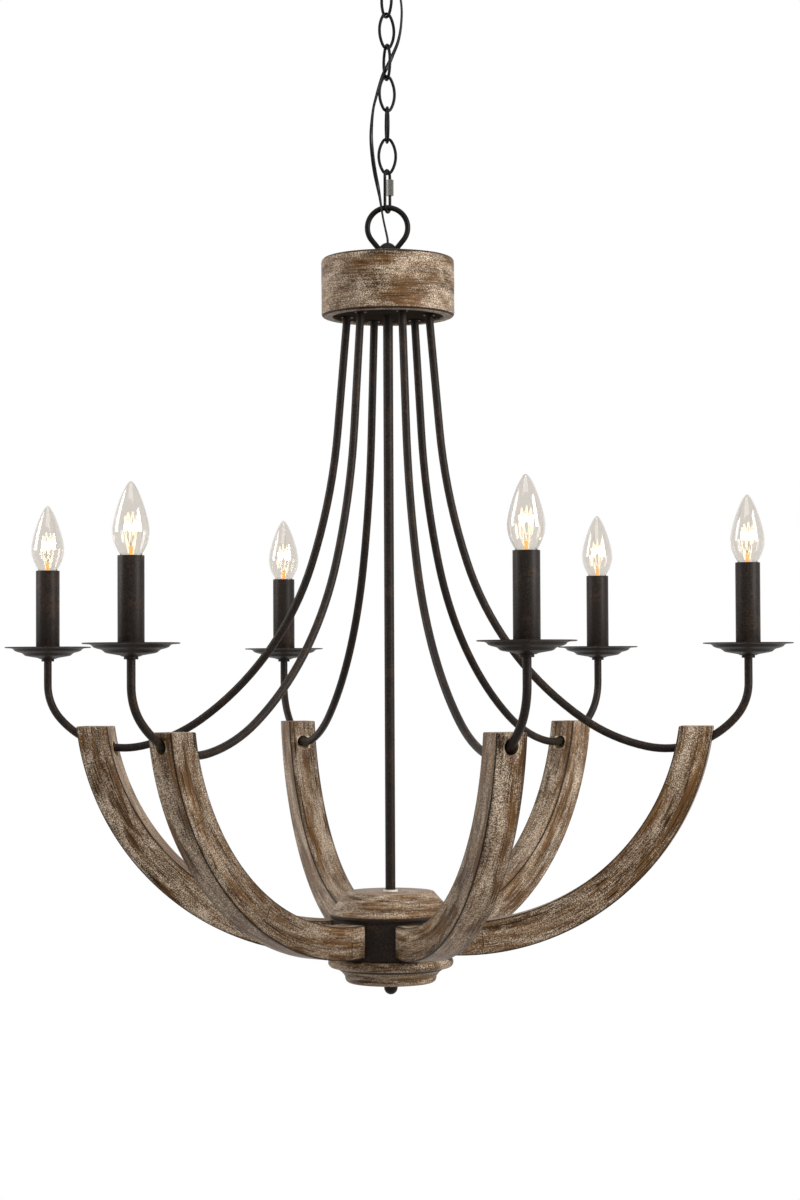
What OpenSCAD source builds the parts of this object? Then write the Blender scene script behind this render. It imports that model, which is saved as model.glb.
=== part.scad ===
// Six-arm candle chandelier: curved wooden arms, bent lamp tubes, hung on a chain.
// +Z is up. The origin is on the ceiling, where the fitting is fixed.

/* [Ceiling fitting] */
// Diameter of the canopy's rim
canopy_d = 125; // [110:1:150]
// Depth of the canopy below the ceiling
canopy_depth = 30; // [26:1:45]
// Wall of the canopy
canopy_wall = 1.2; // [0.8:0.1:2]
// Diameter of the threaded boss that carries the canopy
boss_d = 27; // [24:0.5:32]
// Length of the threaded boss
boss_len = 20; // [16:1:26]
// Outer diameter of the screw collar
collar_d = 38; // [35:0.5:48]
// Height of the screw collar
collar_h = 6; // [4:0.5:8]
// Length of the crossbar
bar_len = 110; // [106:1:112]
// Width of the crossbar
bar_w = 18; // [16:0.5:24]
// Thickness of the crossbar
bar_t = 2.5; // [1.5:0.1:4]
// Distance between the crossbar's slot centres
slot_gap = 80; // [76:1:82]
// End-to-end length of a slot
slot_len = 22; // [16:1:24]
// Width of a slot
slot_w = 4.8; // [4:0.1:6]
// Inner diameter of the eye that the chain hangs on
eye_in = 14; // [12:0.5:16]
// Wire of the eye
eye_wire = 4.5; // [3.5:0.1:5.5]

/* [Chain] */
// Wire of a link
link_wire = 3; // [2.5:0.1:3.4]
// Length inside a link
link_in_len = 32; // [28:0.5:40]
// Width inside a link
link_in_w = 14; // [12:0.5:18]
// Mean radius of a link's ends
link_end_r = 5; // [4.5:0.1:6]
// Wire of the quick link
quick_wire = 3; // [2.5:0.1:3.4]
// Length inside the quick link
quick_in_len = 39.2; // [36:0.2:46]
// Width inside the quick link
quick_in_w = 9; // [8:0.5:12]
// Opening of the quick link
quick_gap = 5; // [4:0.5:6]
// Length of the quick link's sleeve nut
sleeve_nut_len = 16; // [14:0.5:17]
// Size of the sleeve nut across its flats
sleeve_nut_af = 6.5; // [6:0.1:8]

/* [Top loop] */
// Inner diameter of the ring
ring_in = 35; // [30:0.5:40]
// Wire of the ring
ring_wire = 5.5; // [4.5:0.1:6]
// Ring centre above the drum
ring_rise = 31.5; // [30:0.5:36]
// Diameter of the domed boss under the ring
dome_d = 19; // [17:0.5:24]
// Height of the domed boss
dome_h = 16.5; // [15:0.5:19]

/* [Drum] */
// Diameter of the wooden drum
drum_d = 133.5; // [126:0.5:160]
// Height of the wooden drum
drum_h = 59; // [50:1:80]
// Thickness of the drum's top
drum_top_t = 10; // [8:0.5:14]
// Radius of the drum's edges
drum_edge = 4; // [2:0.5:6]
// Diameter of the metal plate under the drum
plate_d = 111; // [106:0.5:116]
// Thickness of the plate
plate_t = 3; // [2:0.25:4]
// How far the plate sits up inside the drum
plate_recess = 2.5; // [1:0.25:5]

/* [Rod and tubes] */
// Diameter of the centre rod
rod_d = 10; // [9:0.25:12]
// Bore of the rod's upper end, which takes the cord
rod_bore = 6.4; // [5:0.1:6.6]
// Length of rod in view, from the drum's foot to the hub
rod_view = 574; // [540:1:640]
// Outer diameter of the arm tubes
tube_d = 8; // [7:0.25:9]
// Bore of the arm tubes
tube_bore = 6; // [5:0.1:6.4]
// Distance from the axis to a tube at the plate's underside
tube_at = 41.7; // [38:0.25:44]
// Lean of a tube where it leaves the plate, in degrees
tube_lean = 5; // [3:0.5:7]
// Straight length below the plate
tube_run = 115; // [90:1:150]
// Straight length at the tube's upturned end
tube_rise = 38; // [34:0.5:60]
// Diameter of the collar round each tube under the plate
tube_collar_d = 12; // [11:0.5:14]

/* [Hub] */
// Height of the upper wooden disc
upper_h = 26; // [20:0.5:34]
// Top diameter of the upper wooden disc
upper_top_d = 86; // [76:1:96]
// Largest diameter of the upper wooden disc
upper_d = 122; // [117:0.5:130]
// Diameter of the metal spool
spool_d = 115; // [110:0.5:117]
// Height of the metal spool
spool_h = 38.5; // [37:0.5:44]
// Wall of the spool
spool_wall = 2.5; // [2:0.25:3.5]
// Height of the lower wooden disc
lower_h = 25.6; // [22:0.2:34]
// Largest diameter of the lower wooden disc
lower_d = 125; // [120:0.5:136]
// Diameter of the lower disc at its foot
lower_foot_d = 86; // [76:1:96]
// Diameter of the finial
finial_d = 13.6; // [12:0.2:20]
// Height of the finial
finial_h = 12.4; // [10:0.2:20]

/* [Wooden arms] */
// Inner radius of an arm's curve
arm_in_r = 222.5; // [210:0.5:240]
// Thickness of an arm, measured along its radius
arm_t = 32.5; // [26:0.5:35]
// Width of an arm
arm_w = 30; // [24:0.5:34]
// Distance from the spool's face to the lowest point of the curve
arm_toe = 10.5; // [6:0.5:16]
// Drop from the arm's flat top to the centre of its hole
arm_top_drop = 18; // [14:0.5:26]
// Diameter of the hole that the tube passes through
arm_hole_d = 13.5; // [12.5:0.25:16]

/* [Candles] */
// Diameter of a drip pan
pan_d = 88; // [80:1:100]
// Height of a drip pan
pan_h = 12.5; // [11:0.5:16]
// Diameter of a candle sleeve
candle_d = 24.2; // [23.6:0.1:28]
// Wall of a candle sleeve
candle_wall = 1.2; // [0.8:0.1:1.4]
// Height of the sleeve above the pan's rim
candle_h = 78; // [60:1:110]
// Outer diameter of the lamp socket inside the sleeve
socket_d = 19; // [17:0.5:20.5]

/* [Bulbs] */
// Largest diameter of the bulb
bulb_d = 33.5; // [30:0.5:38]
// Height of the bulb's tip above the sleeve
bulb_tip = 66.5; // [58:0.5:75]
// Height of the bulb's widest part above the sleeve
bulb_belly = 22; // [18:0.5:26]
// Thickness of the glass
glass_t = 0.8; // [0.6:0.1:1.2]
// Diameter of the bulb's cap
cap_d = 11.8; // [11:0.1:12.4]
// Length of the bulb's cap
cap_len = 20; // [16:0.5:24]

/* [Supply cord] */
// Diameter of the cord
cord_d = 3.6; // [2.8:0.1:3.8]

/* [Hidden] */
$fn = 64;
ARMS = 6;
LINKS = 6;

// Clearances: between parts of one fixed body, between moving parts, and the play between links
fit = 0.1;
run_gap = 0.3;
link_play = 0.3;
// Where two stretches of wire or tube meet, every second one is thinner by nip and reaches
// into its neighbour by lap, which makes them one piece
nip = 0.02;
lap = 0.1;

// How far each piece of the chain is turned about the vertical, from the top down
EYE_TURN = 48;
LINK_TURNS = [136, 42, 122, 38, 108, 12];
QUICK_TURN = 76;
RING_TURN = 8;

// Bends of an arm tube from the plate to the lamp, each tighter than the last: [radius, angle]
bend_1_r = 610;
bend_2_r = 304;
bend_3_r = 170;
bend_4_r = 91;
bend_5_r = 51;
TUBE_BENDS = [[bend_1_r, 13], [bend_2_r, 37], [bend_3_r, 23], [bend_4_r, 60], [bend_5_r, 42]];

// Route of the supply cord, from the wireway in the canopy's boss to the dome under the ring
CORD_ROUTE = [
    [6.8, -6.2, -34], [6.8, -6.2, -43], [8.5, -4.5, -52], [11.5, -1.5, -62], [14, 1, -72],
    [15, 2.5, -84], [14.5, 2.5, -97], [13, 2.5, -108], [10.5, 2, -118], [6.5, 1, -128],
    [2.5, -1, -138], [-1.5, -4, -147], [-4, -7.5, -155], [-6.5, -9.5, -164], [-9, -10, -173],
    [-12, -9.5, -184], [-14, -8, -197], [-15, -7, -211], [-14.5, -6.5, -225],
    [-13, -6.5, -239], [-11, -7, -251], [-8.5, -7.5, -263], [-6.5, -7.5, -274], [-5, -6.5, -285],
    [-3.5, -4.5, -296], [-1.5, -2, -307], [0, 0, -316], [0, 0, -324]];

// Heights of the ceiling fitting
boss_reach = 7;
boss_foot = -(canopy_depth + collar_h + boss_reach);
boss_top = boss_foot + boss_len;
stem_top = -0.5;
stem_d = 10;
canopy_lip = 4;
eye_r = (eye_in + eye_wire) / 2;
eye_z = boss_foot - eye_r + eye_wire / 3;
wireway_r = 9.2;
wireway_d = 5.2;

// Heights along the chain. A seat is the top of the wire that the next piece hangs on.
function seat_z(n) = eye_z - eye_in / 2 - n * (link_in_len - link_play);
function link_z(n) = seat_z(n) + link_play - link_in_len / 2;
quick_z = seat_z(LINKS) + link_play - quick_in_len / 2;
ring_z = quick_z - quick_in_len / 2 + link_play - ring_in / 2;

// Heights of the drum and the hub
drum_z = ring_z - ring_rise;
drum_foot = drum_z - drum_h;
plate_z = drum_foot + plate_recess;
plate_top = plate_z + plate_t;
upper_z = drum_foot - rod_view;
spool_z = upper_z - upper_h;
lower_z = spool_z - spool_h;
finial_z = lower_z - lower_h;
rod_in_dome = 8;
stud_d = 6;
finial_floor = 5;
stud_foot = finial_z - finial_h + finial_floor;
nut_h = 5;
tube_nut_af = 12;
rod_nut_af = 17;
stud_nut_af = 10;
plate_ledge = 3.5;
cavity_r = plate_d / 2 - plate_ledge;

// The tube's path starts above the plate. A step is [length, 0] or [radius, angle].
tube_over = 12;
tube_start_z = plate_top + tube_over;
tube_start_r = tube_at - (tube_start_z - plate_z) * tan(tube_lean);
first_run = tube_run + (tube_start_z - plate_z) / cos(tube_lean);
// Steps of a path that starts and ends past the tube by a length
function tube_steps(over) = concat([[first_run + over, 0]], TUBE_BENDS, [[tube_rise + over, 0]]);
lead_over = 7;

// Place on the path after a number of steps: [distance from axis, height, heading]
function after(steps, n, at) =
    n == 0 ? at : let (a = after(steps, n - 1, at), s = steps[n - 1], h = a[2] + s[1])
    s[1] == 0 ? [a[0] + s[0] * sin(a[2]), a[1] - s[0] * cos(a[2]), a[2]]
              : [a[0] + s[0] * (cos(a[2]) - cos(h)), a[1] + s[0] * (sin(a[2]) - sin(h)), h];
tube_from = [tube_start_r, tube_start_z, tube_lean];
tube_end = after(tube_steps(0), len(TUBE_BENDS) + 2, tube_from);
lamp_r = tube_end[0];

// The arm's curve: its centre stands over the arm's toe, so that the arm meets the spool's middle
arm_mid_r = arm_in_r + arm_t / 2;
arm_cx = spool_d / 2 + arm_toe;
arm_cz = spool_z - spool_h / 2 + arm_mid_r;
// The tube's fourth bend and the arm's middle are two circles. The hole is where they meet, at an
// angle that the triangle between that place and the two centres gives.
bend_4 = after(tube_steps(0), 4, tube_from);
bend_4_c = [bend_4[0] + bend_4_r * cos(bend_4[2]), bend_4[1] + bend_4_r * sin(bend_4[2])];
to_arm = [arm_cx, arm_cz] - bend_4_c;
meet_angle = acos((pow(bend_4_r, 2) + pow(norm(to_arm), 2) - pow(arm_mid_r, 2))
                  / (2 * bend_4_r * norm(to_arm)));
hole_heading = atan2(to_arm[1], to_arm[0]) + 180 + meet_angle;
hole_at = after([[bend_4_r, hole_heading - bend_4[2]]], 1, bend_4);
arm_top = hole_at[1] + arm_top_drop;
arm_screw_d = 4.4;
arm_screw_len = 32;
arm_screw_head_d = 8.4;
arm_screw_head_h = 2.5;
arm_screw_gap = 15;
// A head's flat face bears on the spool's curved wall along its two sides
screw_seat = sqrt(pow(spool_d / 2 - spool_wall, 2) - pow(arm_screw_head_d / 2, 2));

// Heights at a lamp
tube_end_drop = 1;
pan_foot = tube_end[1] + tube_end_drop - pan_h;
pan_rim = pan_foot + pan_h;
pan_floor_t = 1.9;
pan_floor = pan_foot + pan_floor_t;
pan_collar_h = 2.5;
candle_top = pan_rim + candle_h;
bulb_neck = 11;
bulb_neck_d = 12.6;
// Reach of the handles that shape the bulb's curve: below the belly, above it and at the tip
bulb_swell = 16;
bulb_shoulder = 22;
bulb_crown = 9;
socket_top = candle_top - bulb_neck - 0.5;
contact_h = 2;

BLACK = [0.13, 0.11, 0.1];
WOOD = [0.5, 0.4, 0.32];
BRASS = [0.75, 0.6, 0.3];
STEEL = [0.55, 0.55, 0.55];

// Points along an arc, for outlines
function arc(cx, cy, r, from, to, n = 6) =
    [for (i = [0:n]) let (a = from + (to - from) * i / n) [cx + r * cos(a), cy + r * sin(a)]];
// A point of a cubic curve through two ends and two handles
function curve(p, t) = let (u = 1 - t)
    pow(u, 3) * p[0] + 3 * t * pow(u, 2) * p[1] + 3 * pow(t, 2) * u * p[2] + pow(t, 3) * p[3];
function curve_points(p, n) = [for (i = [0:n]) curve(p, i / n)];
function reversed(list) = [for (i = [len(list) - 1:-1:0]) list[i]];

module at_arm(i) {
    rotate([0, 0, i * 360 / ARMS]) children();
}

module at_lamps() {
    for (i = [0:ARMS - 1]) at_arm(i) translate([lamp_r, 0, 0]) children();
}

// ---- wire and tube ----

// A bend in the XZ plane that leaves along +Z and turns towards +X
module bend(radius, angle, r, over) {
    extra = over / radius * 180 / PI;
    translate([radius, 0, 0]) rotate([90, 0, 0]) rotate([0, 0, 180 - angle - extra])
        rotate_extrude(angle = angle + 2 * extra) translate([radius, 0]) circle(r = r);
}

module along(steps, r, i = 0) {
    if (i < len(steps)) {
        over = i % 2 == 1 ? lap : 0;
        own_r = i % 2 == 1 ? r - nip : r;
        size = steps[i][0];
        turn = steps[i][1];
        if (turn == 0) {
            translate([0, 0, -over]) cylinder(h = size + 2 * over, r = own_r);
            translate([0, 0, size]) along(steps, r, i + 1);
        } else {
            bend(size, turn, own_r, over);
            translate([size, 0, 0]) rotate([0, turn, 0]) translate([-size, 0, 0])
                along(steps, r, i + 1);
        }
    }
}

// Puts what is drawn along +Z onto the tube's path, at its start
module on_tube() {
    translate([tube_start_r, 0, tube_start_z]) mirror([0, 0, 1]) rotate([0, tube_lean, 0])
        children();
}

// A link of four arcs, standing in the XZ plane
module oval(in_len, in_w, end_r, wire) {
    half_w = (in_w + wire) / 2;
    rise = (in_len + wire) / 2 - end_r;
    side_r = (pow(rise, 2) + pow(half_w, 2) - pow(end_r, 2)) / (2 * (half_w - end_r));
    a = atan2(rise, side_r - half_w);
    extra = lap / end_r * 180 / PI;
    rotate([90, 0, 0]) for (side = [0, 180]) rotate([0, 0, side]) {
        translate([half_w - side_r, 0, 0]) rotate([0, 0, -a])
            rotate_extrude(angle = 2 * a) translate([side_r, 0]) circle(d = wire);
        translate([0, rise, 0]) rotate([0, 0, a - extra])
            rotate_extrude(angle = 180 - 2 * a + 2 * extra) translate([end_r, 0])
                circle(d = wire - 2 * nip);
    }
}

module ring(r, wire) {
    rotate([90, 0, 0]) rotate_extrude() translate([r, 0]) circle(d = wire);
}

// ---- ceiling fitting ----

module crossbar() {
    color(STEEL) translate([0, 0, -bar_t]) difference() {
        translate([-bar_len / 2, -bar_w / 2, 0]) cube([bar_len, bar_w, bar_t]);
        translate([0, 0, -1]) cylinder(h = bar_t + 2, d = stem_d + 2 * fit);
        for (side = [-1, 1]) translate([side * slot_gap / 2, 0, -1]) linear_extrude(bar_t + 2) {
            square([slot_len - slot_w, slot_w], center = true);
            for (end = [-1, 1]) translate([end * (slot_len - slot_w) / 2, 0]) circle(d = slot_w);
        }
    }
}

module canopy_loop() {
    color(BLACK) difference() {
        union() {
            translate([0, 0, boss_foot]) cylinder(h = boss_top - boss_foot, d = boss_d);
            translate([0, 0, boss_top - 1]) cylinder(h = stem_top - boss_top + 1, d = stem_d);
            translate([0, 0, eye_z]) rotate([0, 0, EYE_TURN]) ring(eye_r, eye_wire);
        }
        rotate([0, 0, EYE_TURN - 90]) translate([wireway_r, 0, boss_foot - 1])
            cylinder(h = boss_top - boss_foot + 2, d = wireway_d);
    }
}

// Half outline of the canopy, from its floor to its straight lip, moved in by a wall
function canopy_line(wall) =
    let (r = canopy_d / 2 - wall, floor_z = wall - canopy_depth, flat_r = canopy_d / 4)
    concat([[boss_d / 2 + 2 * run_gap, floor_z]],
           curve_points([[flat_r, floor_z], [r - flat_r / 2, floor_z],
                         [r, floor_z + canopy_lip], [r, -canopy_lip]], 10),
           [[r, 0]]);

module canopy() {
    color(BLACK) rotate_extrude(convexity = 4)
        polygon(concat(canopy_line(0), reversed(canopy_line(canopy_wall))));
}

module screw_collar() {
    color(BLACK) translate([0, 0, -canopy_depth - collar_h]) difference() {
        cylinder(h = collar_h, d = collar_d);
        translate([0, 0, -1]) cylinder(h = collar_h + 2, d = boss_d + 2 * run_gap);
    }
}

// ---- supply cord ----

cord_sides = 8;
cord_ring_step = 2.6 * cord_d;
cord_spans = len(CORD_ROUTE) - 1;
// The route's points smoothed: the curve through them at place t, where t counts points
function route_at(t) =
    let (i = min(floor(t), cord_spans - 1), f = t - i, a = CORD_ROUTE[max(i - 1, 0)],
         b = CORD_ROUTE[i], c = CORD_ROUTE[i + 1], d = CORD_ROUTE[min(i + 2, cord_spans)])
    0.5 * (2 * b + (c - a) * f + (2 * a - 5 * b + 4 * c - d) * pow(f, 2)
           + (3 * b - a - 3 * c + d) * pow(f, 3));
function route_length(i = 0) =
    i == cord_spans ? 0 : norm(CORD_ROUTE[i + 1] - CORD_ROUTE[i]) + route_length(i + 1);
cord_rings = ceil(route_length() / cord_ring_step);

module supply_cord() {
    centres = [for (i = [0:cord_rings]) route_at(i / cord_rings * cord_spans)];
    ahead = [for (i = [0:cord_rings])
        let (v = centres[min(i + 1, cord_rings)] - centres[max(i - 1, 0)])
        i == 0 || i == cord_rings ? [0, 0, -1] : v / norm(v)];
    points = [for (i = [0:cord_rings], j = [0:cord_sides - 1])
        let (u = cross(ahead[i], [0, 1, 0]), x = u / norm(u), y = cross(ahead[i], x),
             a = j * 360 / cord_sides)
        centres[i] + cord_d / 2 * (cos(a) * x + sin(a) * y)];
    function at(i, j) = i * cord_sides + j % cord_sides;
    walls = [for (i = [0:cord_rings - 1], j = [0:cord_sides - 1])
        each [[at(i, j), at(i + 1, j + 1), at(i, j + 1)],
              [at(i, j), at(i + 1, j), at(i + 1, j + 1)]]];
    ends = [for (j = [1:cord_sides - 2])
        each [[at(0, 0), at(0, j), at(0, j + 1)],
              [at(cord_rings, 0), at(cord_rings, j + 1), at(cord_rings, j)]]];
    color([0.05, 0.05, 0.05]) polyhedron(points, concat(walls, ends), convexity = 6);
}

// ---- chain ----

module chain_link(i) {
    color(BLACK) translate([0, 0, link_z(i)]) rotate([0, 0, LINK_TURNS[i]])
        oval(link_in_len, link_in_w, link_end_r, link_wire);
}

quick_leg = (quick_in_w + quick_wire) / 2;
quick_half = (quick_in_len + quick_wire) / 2 - quick_leg;
quick_gap_drop = 4.6;
quick_gap_z = quick_half - quick_gap_drop;
nut_over = 2;
nut_top = quick_gap_z + nut_over;

// One wire from below the opening, round both ends, to above it
module quick_link() {
    gap_foot = quick_gap_z - quick_gap;
    color(BLACK) translate([0, 0, quick_z]) rotate([0, 0, QUICK_TURN]) {
        translate([-quick_leg, 0, -quick_half])
            along([[2 * quick_half, 0], [quick_leg, 180], [quick_gap_drop, 0]], quick_wire / 2);
        translate([quick_leg, 0, gap_foot]) mirror([1, 0, 0]) mirror([0, 0, 1])
            along([[gap_foot + quick_half, 0], [quick_leg, 180]], quick_wire / 2);
    }
}

module sleeve_nut() {
    color(BLACK) translate([0, 0, quick_z + nut_top - sleeve_nut_len]) rotate([0, 0, QUICK_TURN])
        translate([quick_leg, 0, 0]) difference() {
            cylinder(h = sleeve_nut_len, d = sleeve_nut_af / cos(30), $fn = 6);
            translate([0, 0, -1]) cylinder(h = sleeve_nut_len + 2, d = quick_wire + run_gap);
        }
}

// ---- top loop and drum ----

leg_lean = 39;
leg_len = 17;
ring_r = (ring_in + ring_wire) / 2;

module top_loop() {
    dome_r = dome_d / 2;
    shoulder = dome_h - dome_r;
    color(BLACK) difference() {
        union() {
            translate([0, 0, ring_z]) rotate([90, 0, RING_TURN]) {
                rotate([0, 0, -leg_lean]) rotate_extrude(angle = 180 + 2 * leg_lean)
                    translate([ring_r, 0]) circle(d = ring_wire);
                for (side = [0, 1]) mirror([side, 0, 0]) rotate([0, 0, -leg_lean])
                    translate([ring_r, lap, 0]) rotate([90, 0, 0])
                        cylinder(h = leg_len + lap, d = ring_wire - 2 * nip);
            }
            translate([0, 0, drum_z]) rotate_extrude() polygon(concat(
                [[0, 0], [dome_r, 0]], arc(0, shoulder, dome_r, 0, 90, 8)));
        }
        translate([0, 0, drum_z - 1]) cylinder(h = rod_in_dome + 1, d = rod_d + 2 * fit);
        translate([0, 0, drum_z]) cylinder(h = dome_h + 1, d = wireway_d);
    }
}

module top_drum() {
    r = drum_d / 2;
    color(WOOD) translate([0, 0, drum_foot]) difference() {
        rotate_extrude() polygon(concat([[0, 0]],
            arc(r - drum_edge, drum_edge, drum_edge, -90, 0),
            arc(r - drum_edge, drum_h - drum_edge, drum_edge, 0, 90), [[0, drum_h]]));
        translate([0, 0, -1]) cylinder(h = plate_recess + plate_t + 1, d = plate_d + 2 * fit);
        translate([0, 0, 1]) cylinder(h = drum_h - drum_top_t - 1, r = cavity_r);
        cylinder(h = drum_h + 1, d = rod_d + 2 * fit);
    }
}

// Holes that follow the arm tubes through what carries them
module tube_holes() {
    for (i = [0:ARMS - 1]) at_arm(i) on_tube() cylinder(h = tube_run, d = tube_d + 2 * fit);
}

module drum_plate() {
    color(BLACK) difference() {
        translate([0, 0, plate_z]) cylinder(h = plate_t, d = plate_d);
        translate([0, 0, plate_z - 1]) cylinder(h = plate_t + 2, d = rod_d + 2 * fit);
        tube_holes();
    }
}

module tube_nuts() {
    collar_t = 1.6;
    color(BLACK) difference() {
        for (i = [0:ARMS - 1]) at_arm(i) {
            translate([tube_at, 0, plate_z - collar_t]) cylinder(h = collar_t, d = tube_collar_d);
            translate([tube_at - plate_t * tan(tube_lean), 0, plate_top])
                cylinder(h = nut_h, d = tube_nut_af / cos(30), $fn = 6);
        }
        tube_holes();
    }
}

// The cord passes down the rod's bore and out of the window in its side, inside the drum
module centre_rod() {
    window_h = 14;
    window_z = drum_z - drum_top_t - window_h - 4;
    top = drum_z + rod_in_dome - run_gap;
    color(BLACK) difference() {
        union() {
            translate([0, 0, spool_z]) cylinder(h = top - spool_z, d = rod_d);
            translate([0, 0, stud_foot]) cylinder(h = spool_z - stud_foot + 1, d = stud_d);
        }
        translate([0, 0, window_z - 2]) cylinder(h = top - window_z + 3, d = rod_bore);
        translate([0, -rod_bore / 2, window_z]) cube([rod_d, rod_bore, window_h]);
    }
}

module rod_nuts() {
    module nut(z, af, bore) {
        translate([0, 0, z]) difference() {
            cylinder(h = nut_h, d = af / cos(30), $fn = 6);
            translate([0, 0, -1]) cylinder(h = nut_h + 2, d = bore + 2 * fit);
        }
    }
    color(STEEL) {
        nut(plate_top, rod_nut_af, rod_d);
        nut(spool_z - spool_wall - nut_h, stud_nut_af, stud_d);
    }
}

// Twist-on connectors, which lie between the tubes' nuts
module wire_nuts() {
    place_r = 25;
    wire_nut_h = 17;
    mouth_d = 13;
    tip_d = 8;
    color("beige") for (side = [0, 180]) rotate([0, 0, side + 180 / ARMS])
        translate([place_r, 0, plate_top]) cylinder(h = wire_nut_h, d1 = mouth_d, d2 = tip_d);
}

// ---- arms ----

// Along an arm tube and past both its ends
module tube_path(r, over) {
    on_tube() translate([0, 0, -over]) along(tube_steps(over), r);
}

module arm_tube(i) {
    color(BLACK) at_arm(i) difference() {
        tube_path(tube_d / 2, 0);
        tube_path(tube_bore / 2, 1);
    }
}

// One lead stands in for the pair in each tube. It starts in the drum and ends in the socket.
lead_d = 2.6;
module lamp_wires() {
    color("white") for (i = [0:ARMS - 1]) at_arm(i) tube_path(lead_d / 2, lead_over);
}

module arm_screw_places() {
    for (i = [0:ARMS - 1], side = [-1, 1]) at_arm(i)
        translate([screw_seat, 0, spool_z - (spool_h + side * arm_screw_gap) / 2])
            rotate([0, 90, 0]) children();
}

module wood_arm(i) {
    color(WOOD) difference() {
        at_arm(i) translate([arm_cx, 0, arm_cz]) rotate([90, 0, 0]) translate([0, 0, -arm_w / 2])
            linear_extrude(arm_w) intersection() {
                difference() {
                    circle(r = arm_in_r + arm_t, $fn = 180);
                    circle(r = arm_in_r, $fn = 180);
                }
                translate([-2 * arm_toe, -2 * arm_in_r])
                    square([2 * arm_in_r, 2 * arm_in_r + arm_top - arm_cz]);
            }
        translate([0, 0, spool_z - spool_h - 1]) cylinder(h = spool_h + 2, d = spool_d);
        at_arm(i) translate([hole_at[0], 0, hole_at[1]]) rotate([0, 180 - hole_heading, 0])
            cylinder(h = 2 * arm_t, d = arm_hole_d, center = true);
        arm_screw_places() cylinder(h = arm_screw_len + spool_wall, d = arm_screw_d);
    }
}

module arm_screws() {
    color(STEEL) arm_screw_places() {
        cylinder(h = arm_screw_len, d = arm_screw_d - 2 * fit);
        translate([0, 0, -arm_screw_head_h]) cylinder(h = arm_screw_head_h, d = arm_screw_head_d);
    }
}

// ---- hub ----

module rod_gasket() {
    gasket_t = 1.6;
    color("gainsboro") translate([0, 0, upper_z]) difference() {
        cylinder(h = gasket_t, d = rod_d + 5);
        translate([0, 0, -1]) cylinder(h = gasket_t + 2, d = rod_d + 2 * fit);
    }
}

// A hollow-sided cone on a rounded edge
module upper_disc() {
    r = upper_d / 2;
    top_r = upper_top_d / 2;
    round_r = 2;
    edge_h = 3;
    color(WOOD) translate([0, 0, spool_z]) difference() {
        rotate_extrude() polygon(concat([[0, 0]], arc(r - round_r, round_r, round_r, -90, 0, 3),
            curve_points([[r, edge_h], [r - 2, 3 * edge_h], [top_r + 10, upper_h - 11],
                          [top_r + 1, upper_h - 1]], 8),
            [[top_r, upper_h], [0, upper_h]]));
        translate([0, 0, -1]) cylinder(h = upper_h + 2, d = rod_d + 2 * fit);
    }
}

// A can, open below, that the arms are screwed to from inside
module arm_spool() {
    color(BLACK) difference() {
        translate([0, 0, spool_z - spool_h]) cylinder(h = spool_h, d = spool_d);
        translate([0, 0, spool_z - spool_h - 1])
            cylinder(h = spool_h - spool_wall + 1, d = spool_d - 2 * spool_wall);
        translate([0, 0, spool_z - spool_wall - 1]) cylinder(h = spool_wall + 2, d = stud_d + 2 * fit);
        arm_screw_places() translate([0, 0, -1]) cylinder(h = spool_wall + 2, d = arm_screw_d);
    }
}

// From its foot up: a rounded foot, a cove, a groove and a bead
module lower_disc() {
    bead_r = 5;
    bead_at = lower_d / 2 - bead_r;
    foot = lower_foot_d / 2;
    cove_top = lower_h - 2 * bead_r - 1.5;
    color(WOOD) translate([0, 0, finial_z]) difference() {
        rotate_extrude() polygon(concat([[0, 0]], arc(foot - bead_r / 2, bead_r, bead_r, -90, 0, 5),
            curve_points([[foot + bead_r / 2, bead_r + 1], [foot + 4, 9], [foot + 7, 12],
                          [foot + 11, cove_top]], 8),
            arc(bead_at, lower_h - bead_r - 0.5, bead_r, -60, 90, 9), [[0, lower_h]]));
        translate([0, 0, -1]) cylinder(h = lower_h + 2, d = stud_d + 2 * fit);
    }
}

module finial() {
    r = finial_d / 2;
    color(BLACK) translate([0, 0, finial_z - finial_h]) difference() {
        rotate_extrude()
            polygon(concat([[0, 0]], arc(0, r, r, -90, 0, 8), [[r, finial_h], [0, finial_h]]));
        translate([0, 0, finial_floor - run_gap]) cylinder(h = finial_h, d = stud_d + 2 * fit);
    }
}

// ---- lamps ----

// Steps of a pan's underside and inside: [distance in from the rim's edge, height above the foot]
PAN_UNDER = [[22.9, 3], [19.8, 4.6], [17.6, 6.3], [13.2, 7.3], [9.7, 9]];
PAN_INSIDE = [[11, 10.2], [14.5, 8.6], [18.9, 7.5], [21.1, 5.9], [23.8, 4.4]];
rim_w = 7.9;

module drip_pan(i) {
    r = pan_d / 2;
    hole = tube_d / 2 + fit;
    foot_r = tube_d / 2 + 4;
    color(BLACK) at_arm(i) translate([lamp_r, 0, pan_foot]) rotate_extrude(convexity = 4)
        polygon(concat([[hole, 0], [foot_r, 0], [foot_r + 2, 1.2]],
            [for (p = PAN_UNDER) [r - p[0], p[1]]],
            [[r - rim_w, pan_h - 1.4], [r, pan_h - 0.9], [r, pan_h], [r - rim_w, pan_h - 0.4]],
            [for (p = PAN_INSIDE) [r - p[0], p[1]]],
            [[candle_d / 2 + 1, pan_floor_t], [hole, pan_floor_t]]));
}

module pan_collars() {
    color(BLACK) at_lamps() translate([0, 0, pan_foot - pan_collar_h]) difference() {
        cylinder(h = pan_collar_h, d = tube_d + 5);
        translate([0, 0, -1]) cylinder(h = pan_collar_h + 2, d = tube_d + 2 * fit);
    }
}

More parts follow.
